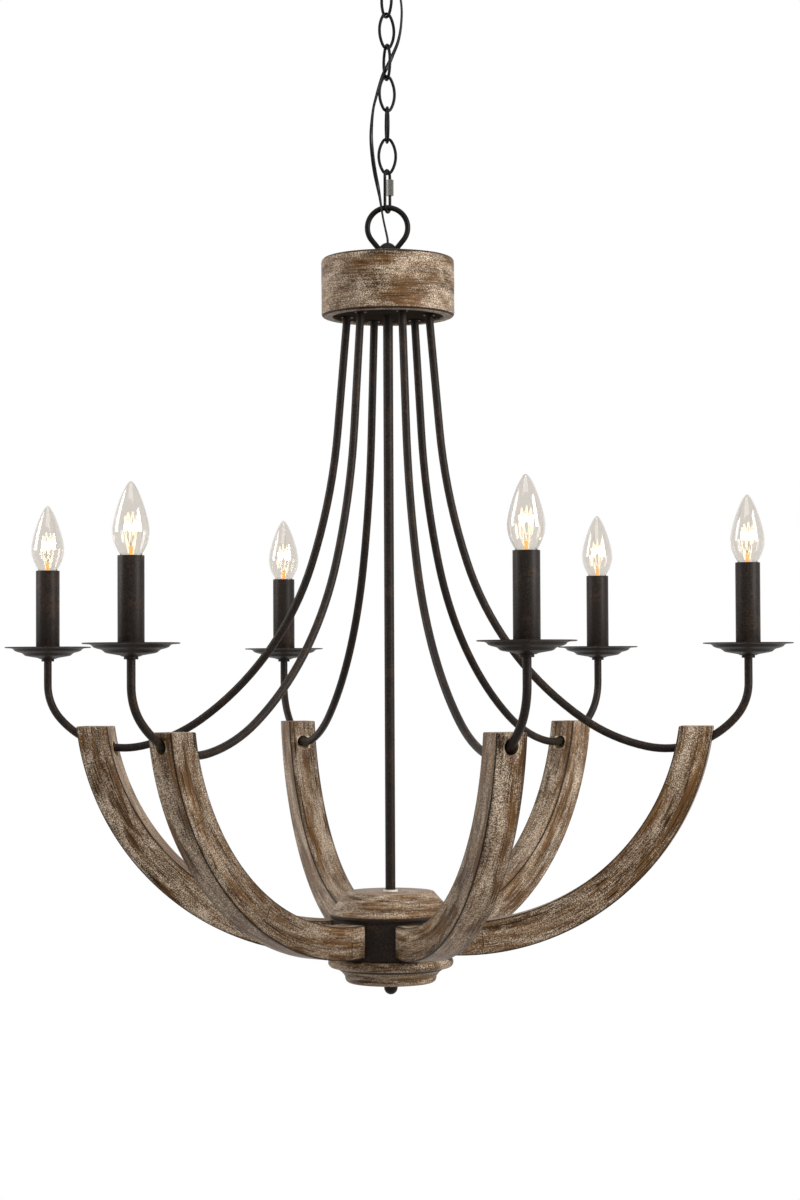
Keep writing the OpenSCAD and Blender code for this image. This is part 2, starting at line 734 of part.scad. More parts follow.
module candle_sleeves() {
    color(BLACK) at_lamps() translate([0, 0, pan_floor]) difference() {
        cylinder(h = candle_top - pan_floor, d = candle_d);
        translate([0, 0, -1]) cylinder(h = candle_top - pan_floor + 2, d = candle_d - 2 * candle_wall);
    }
}

module lamp_sockets() {
    tube_pocket = tube_end[1] + lead_over + fit - pan_floor;
    cap_pocket = cap_len + contact_h + run_gap;
    color("ivory") at_lamps() difference() {
        translate([0, 0, pan_floor]) cylinder(h = socket_top - pan_floor, d = socket_d);
        translate([0, 0, pan_floor - 1]) cylinder(h = tube_pocket + 1, d = tube_d + 2 * fit);
        translate([0, 0, socket_top - cap_pocket]) cylinder(h = cap_pocket + 1, d = cap_d + 2 * run_gap);
    }
}

// Half outline of the bulb, from the neck to the tip, shrunk by a wall
function bulb_line(wall) =
    let (r = bulb_d / 2 - wall, neck = bulb_neck_d / 2 - wall, tip = bulb_tip - wall,
         crown = bulb_crown - wall, swell = bulb_belly - bulb_swell)
    concat([for (i = [0:9]) curve([[neck, -bulb_neck], [neck, 0], [r, swell], [r, bulb_belly]], i / 10)],
           curve_points([[r, bulb_belly], [r, bulb_belly + bulb_shoulder], [crown, tip], [0, tip]], 12));

module bulb_glass(i) {
    color([0.9, 0.9, 0.9, 0.4]) at_arm(i) translate([lamp_r, 0, candle_top])
        rotate_extrude(convexity = 4) polygon(concat(bulb_line(0), reversed(bulb_line(glass_t))));
}

// Cap, contact, glass stem, two lead wires and the filament between them
module bulb_base(i) {
    filament_rise = 26;
    filament_z = bulb_neck + filament_rise;
    half = 6.5;
    stem_h = bulb_neck + 6;
    spread = half - 1;
    reach = filament_z - stem_h + 1;
    color(BRASS) at_arm(i) translate([lamp_r, 0, candle_top - bulb_neck]) {
        translate([0, 0, -cap_len]) cylinder(h = cap_len, d = cap_d);
        translate([0, 0, -cap_len - contact_h]) cylinder(h = contact_h + 1, d = 5);
        translate([0, 0, -1]) cylinder(h = stem_h + 1, d = 5);
        for (side = [-1, 1]) translate([side, 0, stem_h - 1])
            rotate([0, side * atan2(spread, reach), 0]) cylinder(h = norm([spread, reach]), d = 0.7);
        translate([-half - 0.5, 0, filament_z]) rotate([0, 90, 0])
            cylinder(h = 2 * half + 1, d = 1.1);
    }
}

crossbar();
canopy_loop();
canopy();
screw_collar();
supply_cord();
quick_link();
sleeve_nut();
top_loop();
top_drum();
drum_plate();
centre_rod();
rod_nuts();
tube_nuts();
wire_nuts();
lamp_wires();
rod_gasket();
upper_disc();
arm_spool();
lower_disc();
finial();
arm_screws();
pan_collars();
candle_sleeves();
lamp_sockets();
for (i = [0:LINKS - 1]) {
    chain_link(i);
}
for (i = [0:ARMS - 1]) {
    arm_tube(i);
    wood_arm(i);
    drip_pan(i);
    bulb_glass(i);
    bulb_base(i);
}
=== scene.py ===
# %% [markdown]
# # A six-light candle chandelier
# The object is a chandelier of whitewashed wood and dark steel that hangs on a chain. Its exact
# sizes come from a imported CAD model, which this script loads as a fixed frame. The script then
# gives every visible piece its shape and its finish in Blender. All lengths in the scene are in
# metres, +Z is up, and the origin is on the ceiling, over the chandelier's axis.

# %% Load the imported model
import bpy
import bmesh
import math
from mathutils import Vector, Matrix, noise


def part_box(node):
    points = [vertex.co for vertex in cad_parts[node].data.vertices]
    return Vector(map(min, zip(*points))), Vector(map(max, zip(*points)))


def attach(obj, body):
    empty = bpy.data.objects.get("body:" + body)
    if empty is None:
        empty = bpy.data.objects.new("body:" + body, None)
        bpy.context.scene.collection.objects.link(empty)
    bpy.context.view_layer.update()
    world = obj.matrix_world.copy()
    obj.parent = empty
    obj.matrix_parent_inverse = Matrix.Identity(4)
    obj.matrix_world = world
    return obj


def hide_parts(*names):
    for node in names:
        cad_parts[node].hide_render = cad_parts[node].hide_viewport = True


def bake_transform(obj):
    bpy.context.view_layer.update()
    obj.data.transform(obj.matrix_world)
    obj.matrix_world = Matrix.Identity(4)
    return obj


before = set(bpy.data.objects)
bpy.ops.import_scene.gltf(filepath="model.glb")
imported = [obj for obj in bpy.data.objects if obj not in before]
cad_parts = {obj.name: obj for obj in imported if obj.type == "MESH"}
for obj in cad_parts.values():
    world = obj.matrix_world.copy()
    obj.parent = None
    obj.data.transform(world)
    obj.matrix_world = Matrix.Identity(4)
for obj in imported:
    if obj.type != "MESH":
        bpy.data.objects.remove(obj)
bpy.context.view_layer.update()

MM = 0.001
ARMS = range(1, 7)
LINKS = range(1, 7)


def azimuth_of(i):
    """The direction in which arm i points. The six arms stand 60 degrees apart."""
    return math.radians(60 * (i - 1))

# %% [markdown]
# ## The camera
# The picture was taken from about 2.5 m away with a moderate telephoto lens, a little to the
# right of the front and level with the candles. We build the camera's axes from vectors instead
# of typing rotation angles, because each vector has a plain meaning: forward, right and up.

# %% Place the camera
CAMERA_DISTANCE = 2.54
CAMERA_AZIMUTH = math.radians(10.4)
EYE_LEVEL = -0.750
YAW = math.radians(0.244)
PITCH = math.radians(1.62)
ROLL = math.radians(0.26)
SENSOR_MM, FOCAL_MM = 36, 76.2

toward = Vector((-math.sin(CAMERA_AZIMUTH), math.cos(CAMERA_AZIMUTH), 0))
right = Vector((math.cos(CAMERA_AZIMUTH), math.sin(CAMERA_AZIMUTH), 0))
place = -toward * CAMERA_DISTANCE + Vector((0, 0, EYE_LEVEL))
forward = (toward * math.cos(YAW) + right * math.sin(YAW)) * math.cos(PITCH)
forward.z = math.sin(PITCH)
side = forward.cross(Vector((0, 0, 1))).normalized()
up = side.cross(forward)
side, up = (side * math.cos(ROLL) - up * math.sin(ROLL),
            up * math.cos(ROLL) + side * math.sin(ROLL))

lens = bpy.data.cameras.new("camera")
lens.sensor_fit = 'VERTICAL'
lens.sensor_height = SENSOR_MM
lens.lens = FOCAL_MM
camera = bpy.data.objects.new("camera", lens)
bpy.context.scene.collection.objects.link(camera)
turn = Matrix((side, up, -forward)).transposed()
camera.matrix_world = Matrix.Translation(place) @ turn.to_4x4()
bpy.context.scene.camera = camera
print("camera at", [round(v, 3) for v in place])

# %% [markdown]
# ## Finishes
# Each material starts from the real one: what it is, how its surface was made and what that does
# to light. Colours are written as the hex values that a paint program shows, and one function
# turns them into the linear values that the renderer works in. One more small function adds a
# node, sets its inputs and links it, so that a material reads as a short list of steps.

# %% Helpers for materials
def linear(hex_colour):
    """An sRGB hex colour as linear red, green, blue and alpha."""
    channels = [int(hex_colour[i:i + 2], 16) / 255 for i in (1, 3, 5)]
    flat = [c / 12.92 if c <= 0.04045 else ((c + 0.055) / 1.055) ** 2.4 for c in channels]
    return (*flat, 1.0)


def feed(tree, target, inputs):
    """Gives a node its inputs, by name or number: another node's output, a value, or a colour."""
    for key, value in inputs.items():
        socket = target.inputs[key]
        if isinstance(value, bpy.types.NodeSocket):
            tree.links.new(value, socket)
        else:
            socket.default_value = linear(value) if isinstance(value, str) else value


def node(tree, kind, inputs=None, out=0, **settings):
    """Adds a node with its settings and links, and returns the output to use next."""
    made = tree.nodes.new("ShaderNode" + kind)
    for key, value in settings.items():
        setattr(made, key, value)
    feed(tree, made, inputs or {})
    return made.outputs[out]


def new_finish(name):
    """A new material, its node tree and its shader."""
    material = bpy.data.materials.new(name)
    material.use_nodes = True
    return material, material.node_tree, material.node_tree.nodes["Principled BSDF"]

# %% [markdown]
# ### Powder-coated steel
# The rod, tubes, pans, candle sleeves and hub are steel with a baked powder coat, near black and
# slightly textured, on which the maker sponged a little rust brown. Powder coat is a plastic
# skin, so it isn't metallic. Its texture breaks up the shine, which leaves a weak, wide gleam.
# The texture is about a millimetre across, the rust spots are two to four, and they gather in
# clouds. The chain and the ring are painted darker and smoother.

# %% The dark coat
GRIT_MM = 0.9
SPOT_MM = 2.4
CLOUD_MM = 20


def powder_coat(name, dark, light, rust, shine):
    """Dark and light are the tones of the coat's texture, and shine is its mean roughness."""
    material, tree, surface = new_finish(name)
    at = node(tree, "TexCoord", out="Object")
    grit = node(tree, "TexNoise", {"Vector": at, "Scale": 1 / (GRIT_MM * MM), "Detail": 3})
    spot = node(tree, "TexNoise", {"Vector": at, "Scale": 1 / (SPOT_MM * MM), "Detail": 3})
    cloud = node(tree, "TexNoise", {"Vector": at, "Scale": 1 / (CLOUD_MM * MM), "Detail": 2})
    tone = node(tree, "MapRange", {"Value": grit, "From Min": 0.35, "From Max": 0.7})
    coat = node(tree, "Mix", {0: tone, 6: dark, 7: light}, out=2, data_type='RGBA')
    sponge = node(tree, "Math", {0: spot, 1: cloud}, operation='MULTIPLY')
    sponge = node(tree, "MapRange", {"Value": sponge, "From Min": 0.27, "From Max": 0.36})
    colour = node(tree, "Mix", {0: sponge, 6: coat, 7: rust}, out=2, data_type='RGBA')
    rough = node(tree, "MapRange", {"Value": grit, "From Min": 0.2, "From Max": 0.8,
                                    "To Min": shine - 0.08, "To Max": shine + 0.14})
    bump = node(tree, "Bump", {"Strength": 0.6, "Distance": 0.3 * MM, "Height": grit})
    feed(tree, surface, {"Base Color": colour, "Roughness": rough, "Normal": bump,
                         "Specular IOR Level": 0.1})
    return material


dark_coat = powder_coat("powder_coated_steel", "#110d0b", "#322a24", "#35281f", 0.38)
chain_coat = powder_coat("painted_chain_steel", "#060505", "#141110", "#1c1511", 0.30)
print("dark finishes:", dark_coat.name, chain_coat.name)

# %% [markdown]
# ### Whitewashed wood
# The drum, the arms and the discs are a soft pale wood, stained brown, brushed with thin white
# paint and then rubbed back. The stain shows as thin streaks along the grain. The white stays as
# a dry film that is broken into millimetre specks by the brushed surface, and a dark line runs
# along the corners. Each wooden piece carries an attribute named grain, which gives a point's
# place in its plank in millimetres, so the streaks follow a curved arm, and one named corner,
# which is 1 on a corner's dark line and where painted shade darkens a disc's groove. A Mapping
# node stretches the noise along the grain.
#
# The layers are built as a painter would lay them: first the stained wood with its streaks, then
# the film over it, then the dark corner lines and the painted shade of the grooves. An arm is
# glued up from short blocks, each cut from another place in the plank, so the block's number seeds
# a white noise that shifts the thin streaks. The stain and the paint were brushed on later and run
# over the joints, which show here and there as a fine dark line.

# %% Wood
STREAK_MM = 0.95
SPECK_MM = 1.05
BLOCK_MM = 128
BLOCK_SHIFT_MM = 400.0
JOINT_HALF, JOINT_EDGE = 0.001, 0.005   # of a glue joint, as shares of a block
FIGURE_SCALE = 0.22                     # of the wide streaks, against the thin ones
WARMTH_SCALE = 0.8                      # of the golden patches, against the brushed ones


def whitewashed_wood(name, run, brush, paint, blocks=False):
    """Run and brush give the size in mm of a streak and of a brushed patch along each axis.
    More paint leaves more of the white. Blocks glues the plank up from short lengths."""
    material, tree, surface = new_finish(name)
    grain = node(tree, "Attribute", out="Vector", attribute_name="grain")
    corner = node(tree, "Attribute", out="Fac", attribute_name="corner")
    plank = grain
    if blocks:
        along = node(tree, "SeparateXYZ", {"Vector": grain})
        along = node(tree, "Math", {0: along, 1: BLOCK_MM}, operation='DIVIDE')
        block = node(tree, "Math", {0: along}, operation='FLOOR')
        shift = node(tree, "TexWhiteNoise", {"W": block}, out="Color", noise_dimensions='1D')
        shift = node(tree, "VectorMath", {0: shift, "Scale": BLOCK_SHIFT_MM}, operation='SCALE')
        plank = node(tree, "VectorMath", {0: grain, 1: shift}, operation='ADD')
        joint = node(tree, "Math", {0: along, 1: 0.5}, operation='PINGPONG')
        joint = node(tree, "MapRange", {"Value": joint, "From Min": JOINT_HALF,
                                        "From Max": JOINT_EDGE, "To Min": 0.9, "To Max": 0.0})
    # thin streaks of the grain, a few wide ones, and the brushed patches of stain and of paint
    thin = node(tree, "Mapping", {"Vector": plank, "Scale": [1 / s for s in run]})
    fibre = node(tree, "TexNoise", {"Vector": thin, "Scale": 1, "Detail": 5, "Roughness": 0.78,
                                    "Distortion": 0.3})
    wide = node(tree, "Mapping", {"Vector": grain, "Location": (7, 3, 11),
                                  "Scale": [FIGURE_SCALE / s for s in run]})
    figure = node(tree, "TexNoise", {"Vector": wide, "Scale": 1, "Detail": 2, "Roughness": 0.5,
                                     "Distortion": 0.4})
    patch = node(tree, "Mapping", {"Vector": grain, "Scale": [1 / s for s in brush]})
    film = node(tree, "TexNoise", {"Vector": patch, "Scale": 1, "Detail": 3, "Roughness": 0.6,
                                   "Distortion": 0.6})
    patch = node(tree, "Mapping", {"Vector": grain, "Location": (31, 17, 5),
                                   "Scale": [WARMTH_SCALE / s for s in brush]})
    warmth = node(tree, "TexNoise", {"Vector": patch, "Scale": 1, "Detail": 1})
    speck = node(tree, "TexNoise", {"Vector": grain, "Scale": 1 / SPECK_MM, "Detail": 3,
                                    "Roughness": 0.65})
    # the stained wood: dark and light streaks, browner or more golden from place to place
    streak = node(tree, "Math", {0: figure, 1: 0.45, 2: fibre}, operation='MULTIPLY_ADD')
    streak = node(tree, "MapRange", {"Value": streak, "From Min": 0.58, "From Max": 0.86})
    umber = node(tree, "Mix", {0: streak, 6: "#180e06", 7: "#785634"}, out=2, data_type='RGBA')
    amber = node(tree, "Mix", {0: streak, 6: "#221406", 7: "#825d35"}, out=2, data_type='RGBA')
    golden = node(tree, "MapRange", {"Value": warmth, "From Min": 0.48, "From Max": 0.64})
    stain = node(tree, "Mix", {0: golden, 6: umber, 7: amber}, out=2, data_type='RGBA')
    # the white: thick where the brush left it and on raised specks, thin over the dark streaks
    thick = node(tree, "Math", {0: film, 1: 1.4, 2: speck}, operation='MULTIPLY_ADD')
    thick = node(tree, "Math", {0: fibre, 1: 0.9, 2: thick}, operation='MULTIPLY_ADD')
    cover = node(tree, "MapRange", {"Value": thick, "From Min": 1.48 - paint,
                                    "From Max": 1.86 - paint, "To Max": 0.93})
    lime = node(tree, "MapRange", {"Value": speck, "From Min": 0.40, "From Max": 0.64})
    lime = node(tree, "Mix", {0: lime, 6: "#685038", 7: "#eedbc3"}, out=2, data_type='RGBA')
    colour = node(tree, "Mix", {0: cover, 6: stain, 7: lime}, out=2, data_type='RGBA')
    # dark lines along the corners, wavering and broken, and painted shade in the discs' grooves
    dark_lines_and_shade = node(tree, "Math", {0: corner, 1: fibre}, operation='MULTIPLY')
    dark_lines_and_shade = node(tree, "MapRange", {"Value": dark_lines_and_shade, "From Min": 0.17, "From Max": 0.32,
                                   "To Max": 0.95})
    if blocks:
        crack = node(tree, "MapRange", {"Value": warmth, "From Min": 0.47, "From Max": 0.55})
        joint = node(tree, "Math", {0: joint, 1: crack}, operation='MULTIPLY')
        dark_lines_and_shade = node(tree, "Math", {0: dark_lines_and_shade, 1: joint}, operation='MAXIMUM')
    colour = node(tree, "Mix", {0: dark_lines_and_shade, 6: colour, 7: "#1b120c"}, out=2, data_type='RGBA')
    rough = node(tree, "MapRange", {"Value": cover, "To Min": 0.38, "To Max": 0.60})
    height = node(tree, "Math", {0: cover, 1: 0.5, 2: fibre}, operation='MULTIPLY_ADD')
    bump = node(tree, "Bump", {"Strength": 0.7, "Distance": 0.5 * MM, "Height": height})
    feed(tree, surface, {"Base Color": colour, "Roughness": rough, "Normal": bump,
                         "Specular IOR Level": 0.1})
    return material


arm_wood = whitewashed_wood("whitewashed_pine", (42, STREAK_MM, STREAK_MM), (60, 13, 13), -0.08,
                            blocks=True)
drum_wood = whitewashed_wood("whitewashed_drum_pine", (26, 26, STREAK_MM), (34, 34, 16), -0.015)
disc_wood = whitewashed_wood("whitewashed_disc_pine", (34, 34, STREAK_MM), (40, 40, 9), -0.09)
print("wood finishes:", arm_wood.name, drum_wood.name, disc_wood.name)

# %% [markdown]
# ### Metal fastenings, plastic and rubber
# Small parts are plain: zinc-plated steel is a true metal, so it is metallic with a grey colour.
# Raw pine shows inside the drilled holes, and the plate under the drum has a matt black paint.
# Even a plain part gets a faint unevenness of colour and gloss, because a perfectly even surface
# looks like a computer's. Black things need a low specular level here: all around them is white,
# and a full reflection of it would turn them grey.

# %% Smaller finishes
def plain_finish(name, colour, shade, roughness, metallic=0.0, grit_mm=0.7, mirror=0.5):
    """Colour and shade are the two tones of the faint mottle, and mirror the specular level."""
    material, tree, surface = new_finish(name)
    at = node(tree, "TexCoord", out="Object")
    grit = node(tree, "TexNoise", {"Vector": at, "Scale": 1 / (grit_mm * MM), "Detail": 2})
    mottled = node(tree, "MapRange", {"Value": grit, "From Min": 0.3, "From Max": 0.7})
    mottled = node(tree, "Mix", {0: mottled, 6: shade, 7: colour}, out=2, data_type='RGBA')
    rough = node(tree, "MapRange", {"Value": grit, "To Min": roughness,
                                    "To Max": roughness + 0.12})
    bump = node(tree, "Bump", {"Strength": 0.2, "Distance": 0.1 * MM, "Height": grit})
    feed(tree, surface, {"Base Color": mottled, "Metallic": metallic, "Roughness": rough,
                         "Normal": bump, "Specular IOR Level": mirror})
    return material


zinc = plain_finish("zinc_plated_steel", "#b9b9b5", "#93938f", 0.3, 1.0)
cap_brass = plain_finish("nickel_plated_brass", "#cdb783", "#ab9562", 0.25, 1.0)
dull_zinc = plain_finish("dull_zinc_plate", "#77746f", "#45433f", 0.3, 1.0)
plate_paint = plain_finish("matt_black_paint", "#403832", "#2f2924", 0.6, mirror=0.0)
ivory = plain_finish("moulded_phenolic", "#e4dfd2", "#cfc9ba", 0.42)
pvc = plain_finish("black_pvc", "#0b0a0a", "#050505", 0.2, mirror=0.12)
lead_insulation = plain_finish("white_lead_insulation", "#dcdad4", "#c5c2ba", 0.48)
raw_pine = plain_finish("raw_pine", "#c9b79a", "#a08a68", 0.6, grit_mm=1.6)
print("smaller finishes:", zinc.name, dull_zinc.name, plate_paint.name, cap_brass.name,
      ivory.name, pvc.name, lead_insulation.name, raw_pine.name)

# %% [markdown]
# ### Glass and light
# The bulbs are clear blown glass with a faint warm grey tint, which shows against the white
# because a ray goes through four glass surfaces. The wire of the filament is white hot. The
# glass stem under it catches its amber light, which is painted on the stem as a glow.

# %% Glass and glowing parts
def glowing(name, colour, strength, shell):
    """A surface that sheds light of this colour. Shell is its own colour when it is off."""
    material, tree, surface = new_finish(name)
    feed(tree, surface, {"Base Color": shell, "Emission Color": colour,
                         "Emission Strength": strength})
    return material


clear_glass, tree, surface = new_finish("clear_blown_glass")
feed(tree, surface, {"Base Color": "#e8e4df", "Roughness": 0.0, "IOR": 1.45,
                     "Transmission Weight": 1.0})
white_hot = glowing("glowing_tungsten", "#ffdcab", 20.0, "#5a5148")
# painted glow: the stem is no lamp, and its emission stands in for the filament's light on it
stem_painted_glow = glowing("stem_glass_painted_glow", "#ffae52", 1.3, "#8a7a66")
print("materials:", len(bpy.data.materials))

# %% [markdown]
# ## Helpers for pieces
# A turned piece is an outline spun about an axis, which is what a lathe does. The outline is a
# closed loop of (radius, height) points in millimetres. Its rounded edges are part of the outline
# or, with soften, a small bevel after the spin, because no real edge is perfectly sharp and
# rounded edges catch the light.

# %% Make a piece from a bmesh
WELD = 0.00001   # metres


def finish_piece(bm, name, body, material, stands_for=(), sharp=40):
    """Makes a smoothly shaded object of a bmesh, which rides on a body and stands for CAD nodes.
    Edges that turn by more than sharp, in degrees, stay crisp."""
    bmesh.ops.remove_doubles(bm, verts=bm.verts, dist=WELD)
    bmesh.ops.recalc_face_normals(bm, faces=bm.faces)
    mesh = bpy.data.meshes.new(name)
    bm.to_mesh(mesh)
    bm.free()
    mesh.polygons.foreach_set("use_smooth", [True] * len(mesh.polygons))
    mesh.set_sharp_from_angle(angle=math.radians(sharp))
    mesh.materials.append(material)
    piece = bpy.data.objects.new(name, mesh)
    bpy.context.scene.collection.objects.link(piece)
    if body:
        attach(piece, body)
    if stands_for:
        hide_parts(*stands_for)
    return piece


SOFTEN_ABOVE = 25   # degrees that a ring edge turns by


def lathe(outline, centre=(0, 0), steps=96, soften=0.0):
    """A bmesh of a closed outline of (radius, height) points, in mm, spun about a vertical axis
    through the centre, in metres."""
    bm = bmesh.new()
    verts = [bm.verts.new((r * MM, 0, z * MM)) for r, z in outline]
    for a, b in zip(verts, verts[1:] + verts[:1]):
        bm.edges.new((a, b))
    bmesh.ops.spin(bm, geom=bm.verts[:] + bm.edges[:], cent=(0, 0, 0), axis=(0, 0, 1),
                   angle=math.tau, steps=steps, use_merge=True)
    bmesh.ops.remove_doubles(bm, verts=bm.verts, dist=WELD)
    bmesh.ops.dissolve_degenerate(bm, edges=bm.edges, dist=WELD)
    bmesh.ops.recalc_face_normals(bm, faces=bm.faces)
    if soften:
        sharp = [e for e in bm.edges if len(e.link_faces) == 2
                 and e.calc_face_angle(0) > math.radians(SOFTEN_ABOVE)]
        bmesh.ops.bevel(bm, geom=sharp, offset=soften * MM, segments=2, profile=0.5,
                        affect='EDGES', material=-1, clamp_overlap=True)
    bmesh.ops.translate(bm, verts=bm.verts, vec=(centre[0], centre[1], 0))
    return bm


def cubic(p, n, closed=True):
    """Points along a cubic curve with two ends and two handles between them. Where another
    curve goes on from it, closed=False leaves out the last point."""
    out = []
    for i in range(n + 1 if closed else n):
        t = i / n
        u = 1 - t
        out.append(tuple(u ** 3 * p[0][k] + 3 * t * u * u * p[1][k] + 3 * t * t * u * p[2][k]
                         + t ** 3 * p[3][k] for k in (0, 1)))
    return out


def arc(cx, cy, r, start, end, n):
    """Points along an arc from one angle to another, in degrees."""
    return [(cx + r * math.cos(math.radians(start + (end - start) * i / n)),
             cy + r * math.sin(math.radians(start + (end - start) * i / n))) for i in range(n + 1)]


def write_grain(piece, place_of):
    """Gives each vertex its place in the wood, in mm, and 1 on a corner's dark line and in a
    disc's painted shade, 0 away from them.
    """
    piece.data.attributes.new("grain", 'FLOAT_VECTOR', 'POINT')
    piece.data.attributes.new("corner", 'FLOAT', 'POINT')
    grain, corner = piece.data.attributes["grain"], piece.data.attributes["corner"]
    for i, vertex in enumerate(piece.data.vertices):
        where, near = place_of(vertex.co / MM)
        grain.data[i].vector = where
        corner.data[i].value = near


def low_z(node_name):
    """The height of a CAD node's lowest point, in mm."""
    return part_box(node_name)[0][2] / MM


def high_z(node_name):
    """The height of a CAD node's highest point, in mm."""
    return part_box(node_name)[1][2] / MM


print("drum from", round(low_z("top_drum"), 1), "to", round(high_z("top_drum"), 1), "mm")

# %% [markdown]
# ## The supply cord
# A black twin flex runs down beside the chain and through one link, and ends in the dome under
# the ring. It hangs free, so it is one smooth curve through the same points as in the CAD model.
# Its section is a flat oval with a groove, and it twists slowly. The chain bends at each link,
# so the cord is cut into short lengths, each of which bends across one joint of the chain.

# %% The cord's route
ROUTE = [
    (6.8, -6.2, -34), (6.8, -6.2, -43), (8.5, -4.5, -52), (11.5, -1.5, -62), (14, 1, -72),
    (15, 2.5, -84), (14.5, 2.5, -97), (13, 2.5, -108), (10.5, 2, -118), (6.5, 1, -128),
    (2.5, -1, -138), (-1.5, -4, -147), (-4, -7.5, -155), (-6.5, -9.5, -164), (-9, -10, -173),
    (-12, -9.5, -184), (-14, -8, -197), (-15, -7, -211), (-14.5, -6.5, -225),
    (-13, -6.5, -239), (-11, -7, -251), (-8.5, -7.5, -263), (-6.5, -7.5, -274), (-5, -6.5, -285),
    (-3.5, -4.5, -296), (-1.5, -2, -307), (0, 0, -316), (0, 0, -324)]
# degrees about the cord's own line, at each of those points
TWIST = [80, 80, 78, 75, 75, 75, 72, 65, 55, 45, 20, 35, 45, 55, 62, 70, 55, 35, 18, 5, 2, 25,
         60, 82, 84, 80, 75, 70]
FLEX_WIDTH = 4.2
FLEX_THICKNESS = 2.3
JOINT_HEIGHTS = [-60.0, -90.95, -122.65, -154.35, -186.05, -217.75, -249.45, -288.35]
STEPS = 270


def along_route(t):
    """The smooth curve through the route's points at place t, and the flex's twist there."""
    i = min(int(t), len(ROUTE) - 2)
    f = t - i
    a, b, c, d = (Vector(ROUTE[min(max(i + k, 0), len(ROUTE) - 1)]) for k in (-1, 0, 1, 2))
    at = 0.5 * (2 * b + (c - a) * f + (2 * a - 5 * b + 4 * c - d) * f ** 2
                + (3 * b - a - 3 * c + d) * f ** 3)
    return at, TWIST[i] * (1 - f) + TWIST[i + 1] * f


centreline = [along_route(k / STEPS * (len(ROUTE) - 1)) for k in range(STEPS + 1)]
cuts = ([ROUTE[0][2]] + [(a + b) / 2 for a, b in zip(JOINT_HEIGHTS, JOINT_HEIGHTS[1:])]
        + [ROUTE[-1][2]])


def length_of(run):
    """The length in mm of a run of (point, twist) pairs."""
    return sum((b[0] - a[0]).length for a, b in zip(run, run[1:]))


print("cord:", round(length_of(centreline)), "mm")

# %% [markdown]
# The flex is two insulated wires in one skin, so its section is two lobes with a waist. A ring of
# points is laid at each place of the route, square to it and turned by the twist, and bridging
# one ring to the next makes the skin. A Bevel on a curve object would be shorter, but its
# twist is hard to hold at a given angle.

# %% Draw the cord's lengths
OVERLAP = 0.9   # how far each length runs past its cut, in mm
WAIST = 0.80    # thickness at the groove, as a share of the flex's


def flex_section(n=20):
    """Two round conductors side by side in one skin, as (across, through) points."""
    lobe = FLEX_THICKNESS / 2
    gap = FLEX_WIDTH / 2 - lobe
    points = []
    for k in range(n):
        a = math.tau * k / n
        x = math.cos(a) * (gap + lobe)
        waist = WAIST + (1 - WAIST) * min(1.0, abs(x) / gap)
        y = math.sin(a) * lobe * waist
        points.append((x, y))
    return points


for number, (top, foot) in enumerate(zip(cuts, cuts[1:])):
    run = [(at, tw) for at, tw in centreline if foot - OVERLAP <= at.z <= top + OVERLAP]
    bm = bmesh.new()
    rings = []
    for k, (at, tw) in enumerate(run):
        ahead = (run[min(k + 1, len(run) - 1)][0] - run[max(k - 1, 0)][0]).normalized()
        flat = right * math.cos(math.radians(tw)) + toward * math.sin(math.radians(tw))
        across = (flat - ahead * flat.dot(ahead)).normalized()
        through = ahead.cross(across)
        rings.append([bm.verts.new((at + across * x + through * y) * MM)
                      for x, y in flex_section()])
    for a, b in zip(rings, rings[1:]):
        loops = [bm.edges.get(pair) or bm.edges.new(pair)
                 for ring in (a, b) for pair in zip(ring, ring[1:] + ring[:1])]
        bmesh.ops.bridge_loops(bm, edges=loops)
    bmesh.ops.contextual_create(bm, geom=rings[0])
    bmesh.ops.contextual_create(bm, geom=rings[-1])
    flex = finish_piece(bm, f"supply_flex_{number + 1}", None, pvc,
                        ["supply_cord"], sharp=60)
    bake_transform(flex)
print("cord lengths:", len(cuts) - 1)

# %% [markdown]
# ## Pieces that keep their CAD shape
# The chain, the ring, the rod, the tubes, the hub and the small fastenings keep their CAD shapes,
# which are exact, and only get a finish.

# %% Finish the CAD pieces
def dress(material, *names):
    """Gives CAD nodes a material in place of the plain one that they come with."""
    for name in names:
        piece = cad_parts[name]
        piece.data.materials.clear()
        piece.data.materials.append(material)
    print(material.name, "on", len(names), "CAD pieces")


dress(dark_coat, "canopy", "canopy_loop", "screw_collar", "centre_rod",
      "tube_nuts", "arm_spool", "finial", "pan_collars", *[f"arm_tube_{i}" for i in ARMS])
dress(plate_paint, "drum_plate")
dress(chain_coat, "top_loop", "quick_link", *[f"chain_link_{i}" for i in LINKS])
dress(zinc, "crossbar", "rod_nuts", "arm_screws")
dress(dull_zinc, "sleeve_nut")
dress(ivory, "lamp_sockets", "wire_nuts", "rod_gasket")
dress(lead_insulation, "lamp_wires")

# %% [markdown]
# ## The wooden drum
# The drum is turned from glued-up pine. Its edges are well rounded, a lip under it hides the
# metal plate's rim, and it is hollow for the wiring. A spun wall has no points between its top
# and its foot, so rows of points are added there, and noise then pushes shallow dents into it.

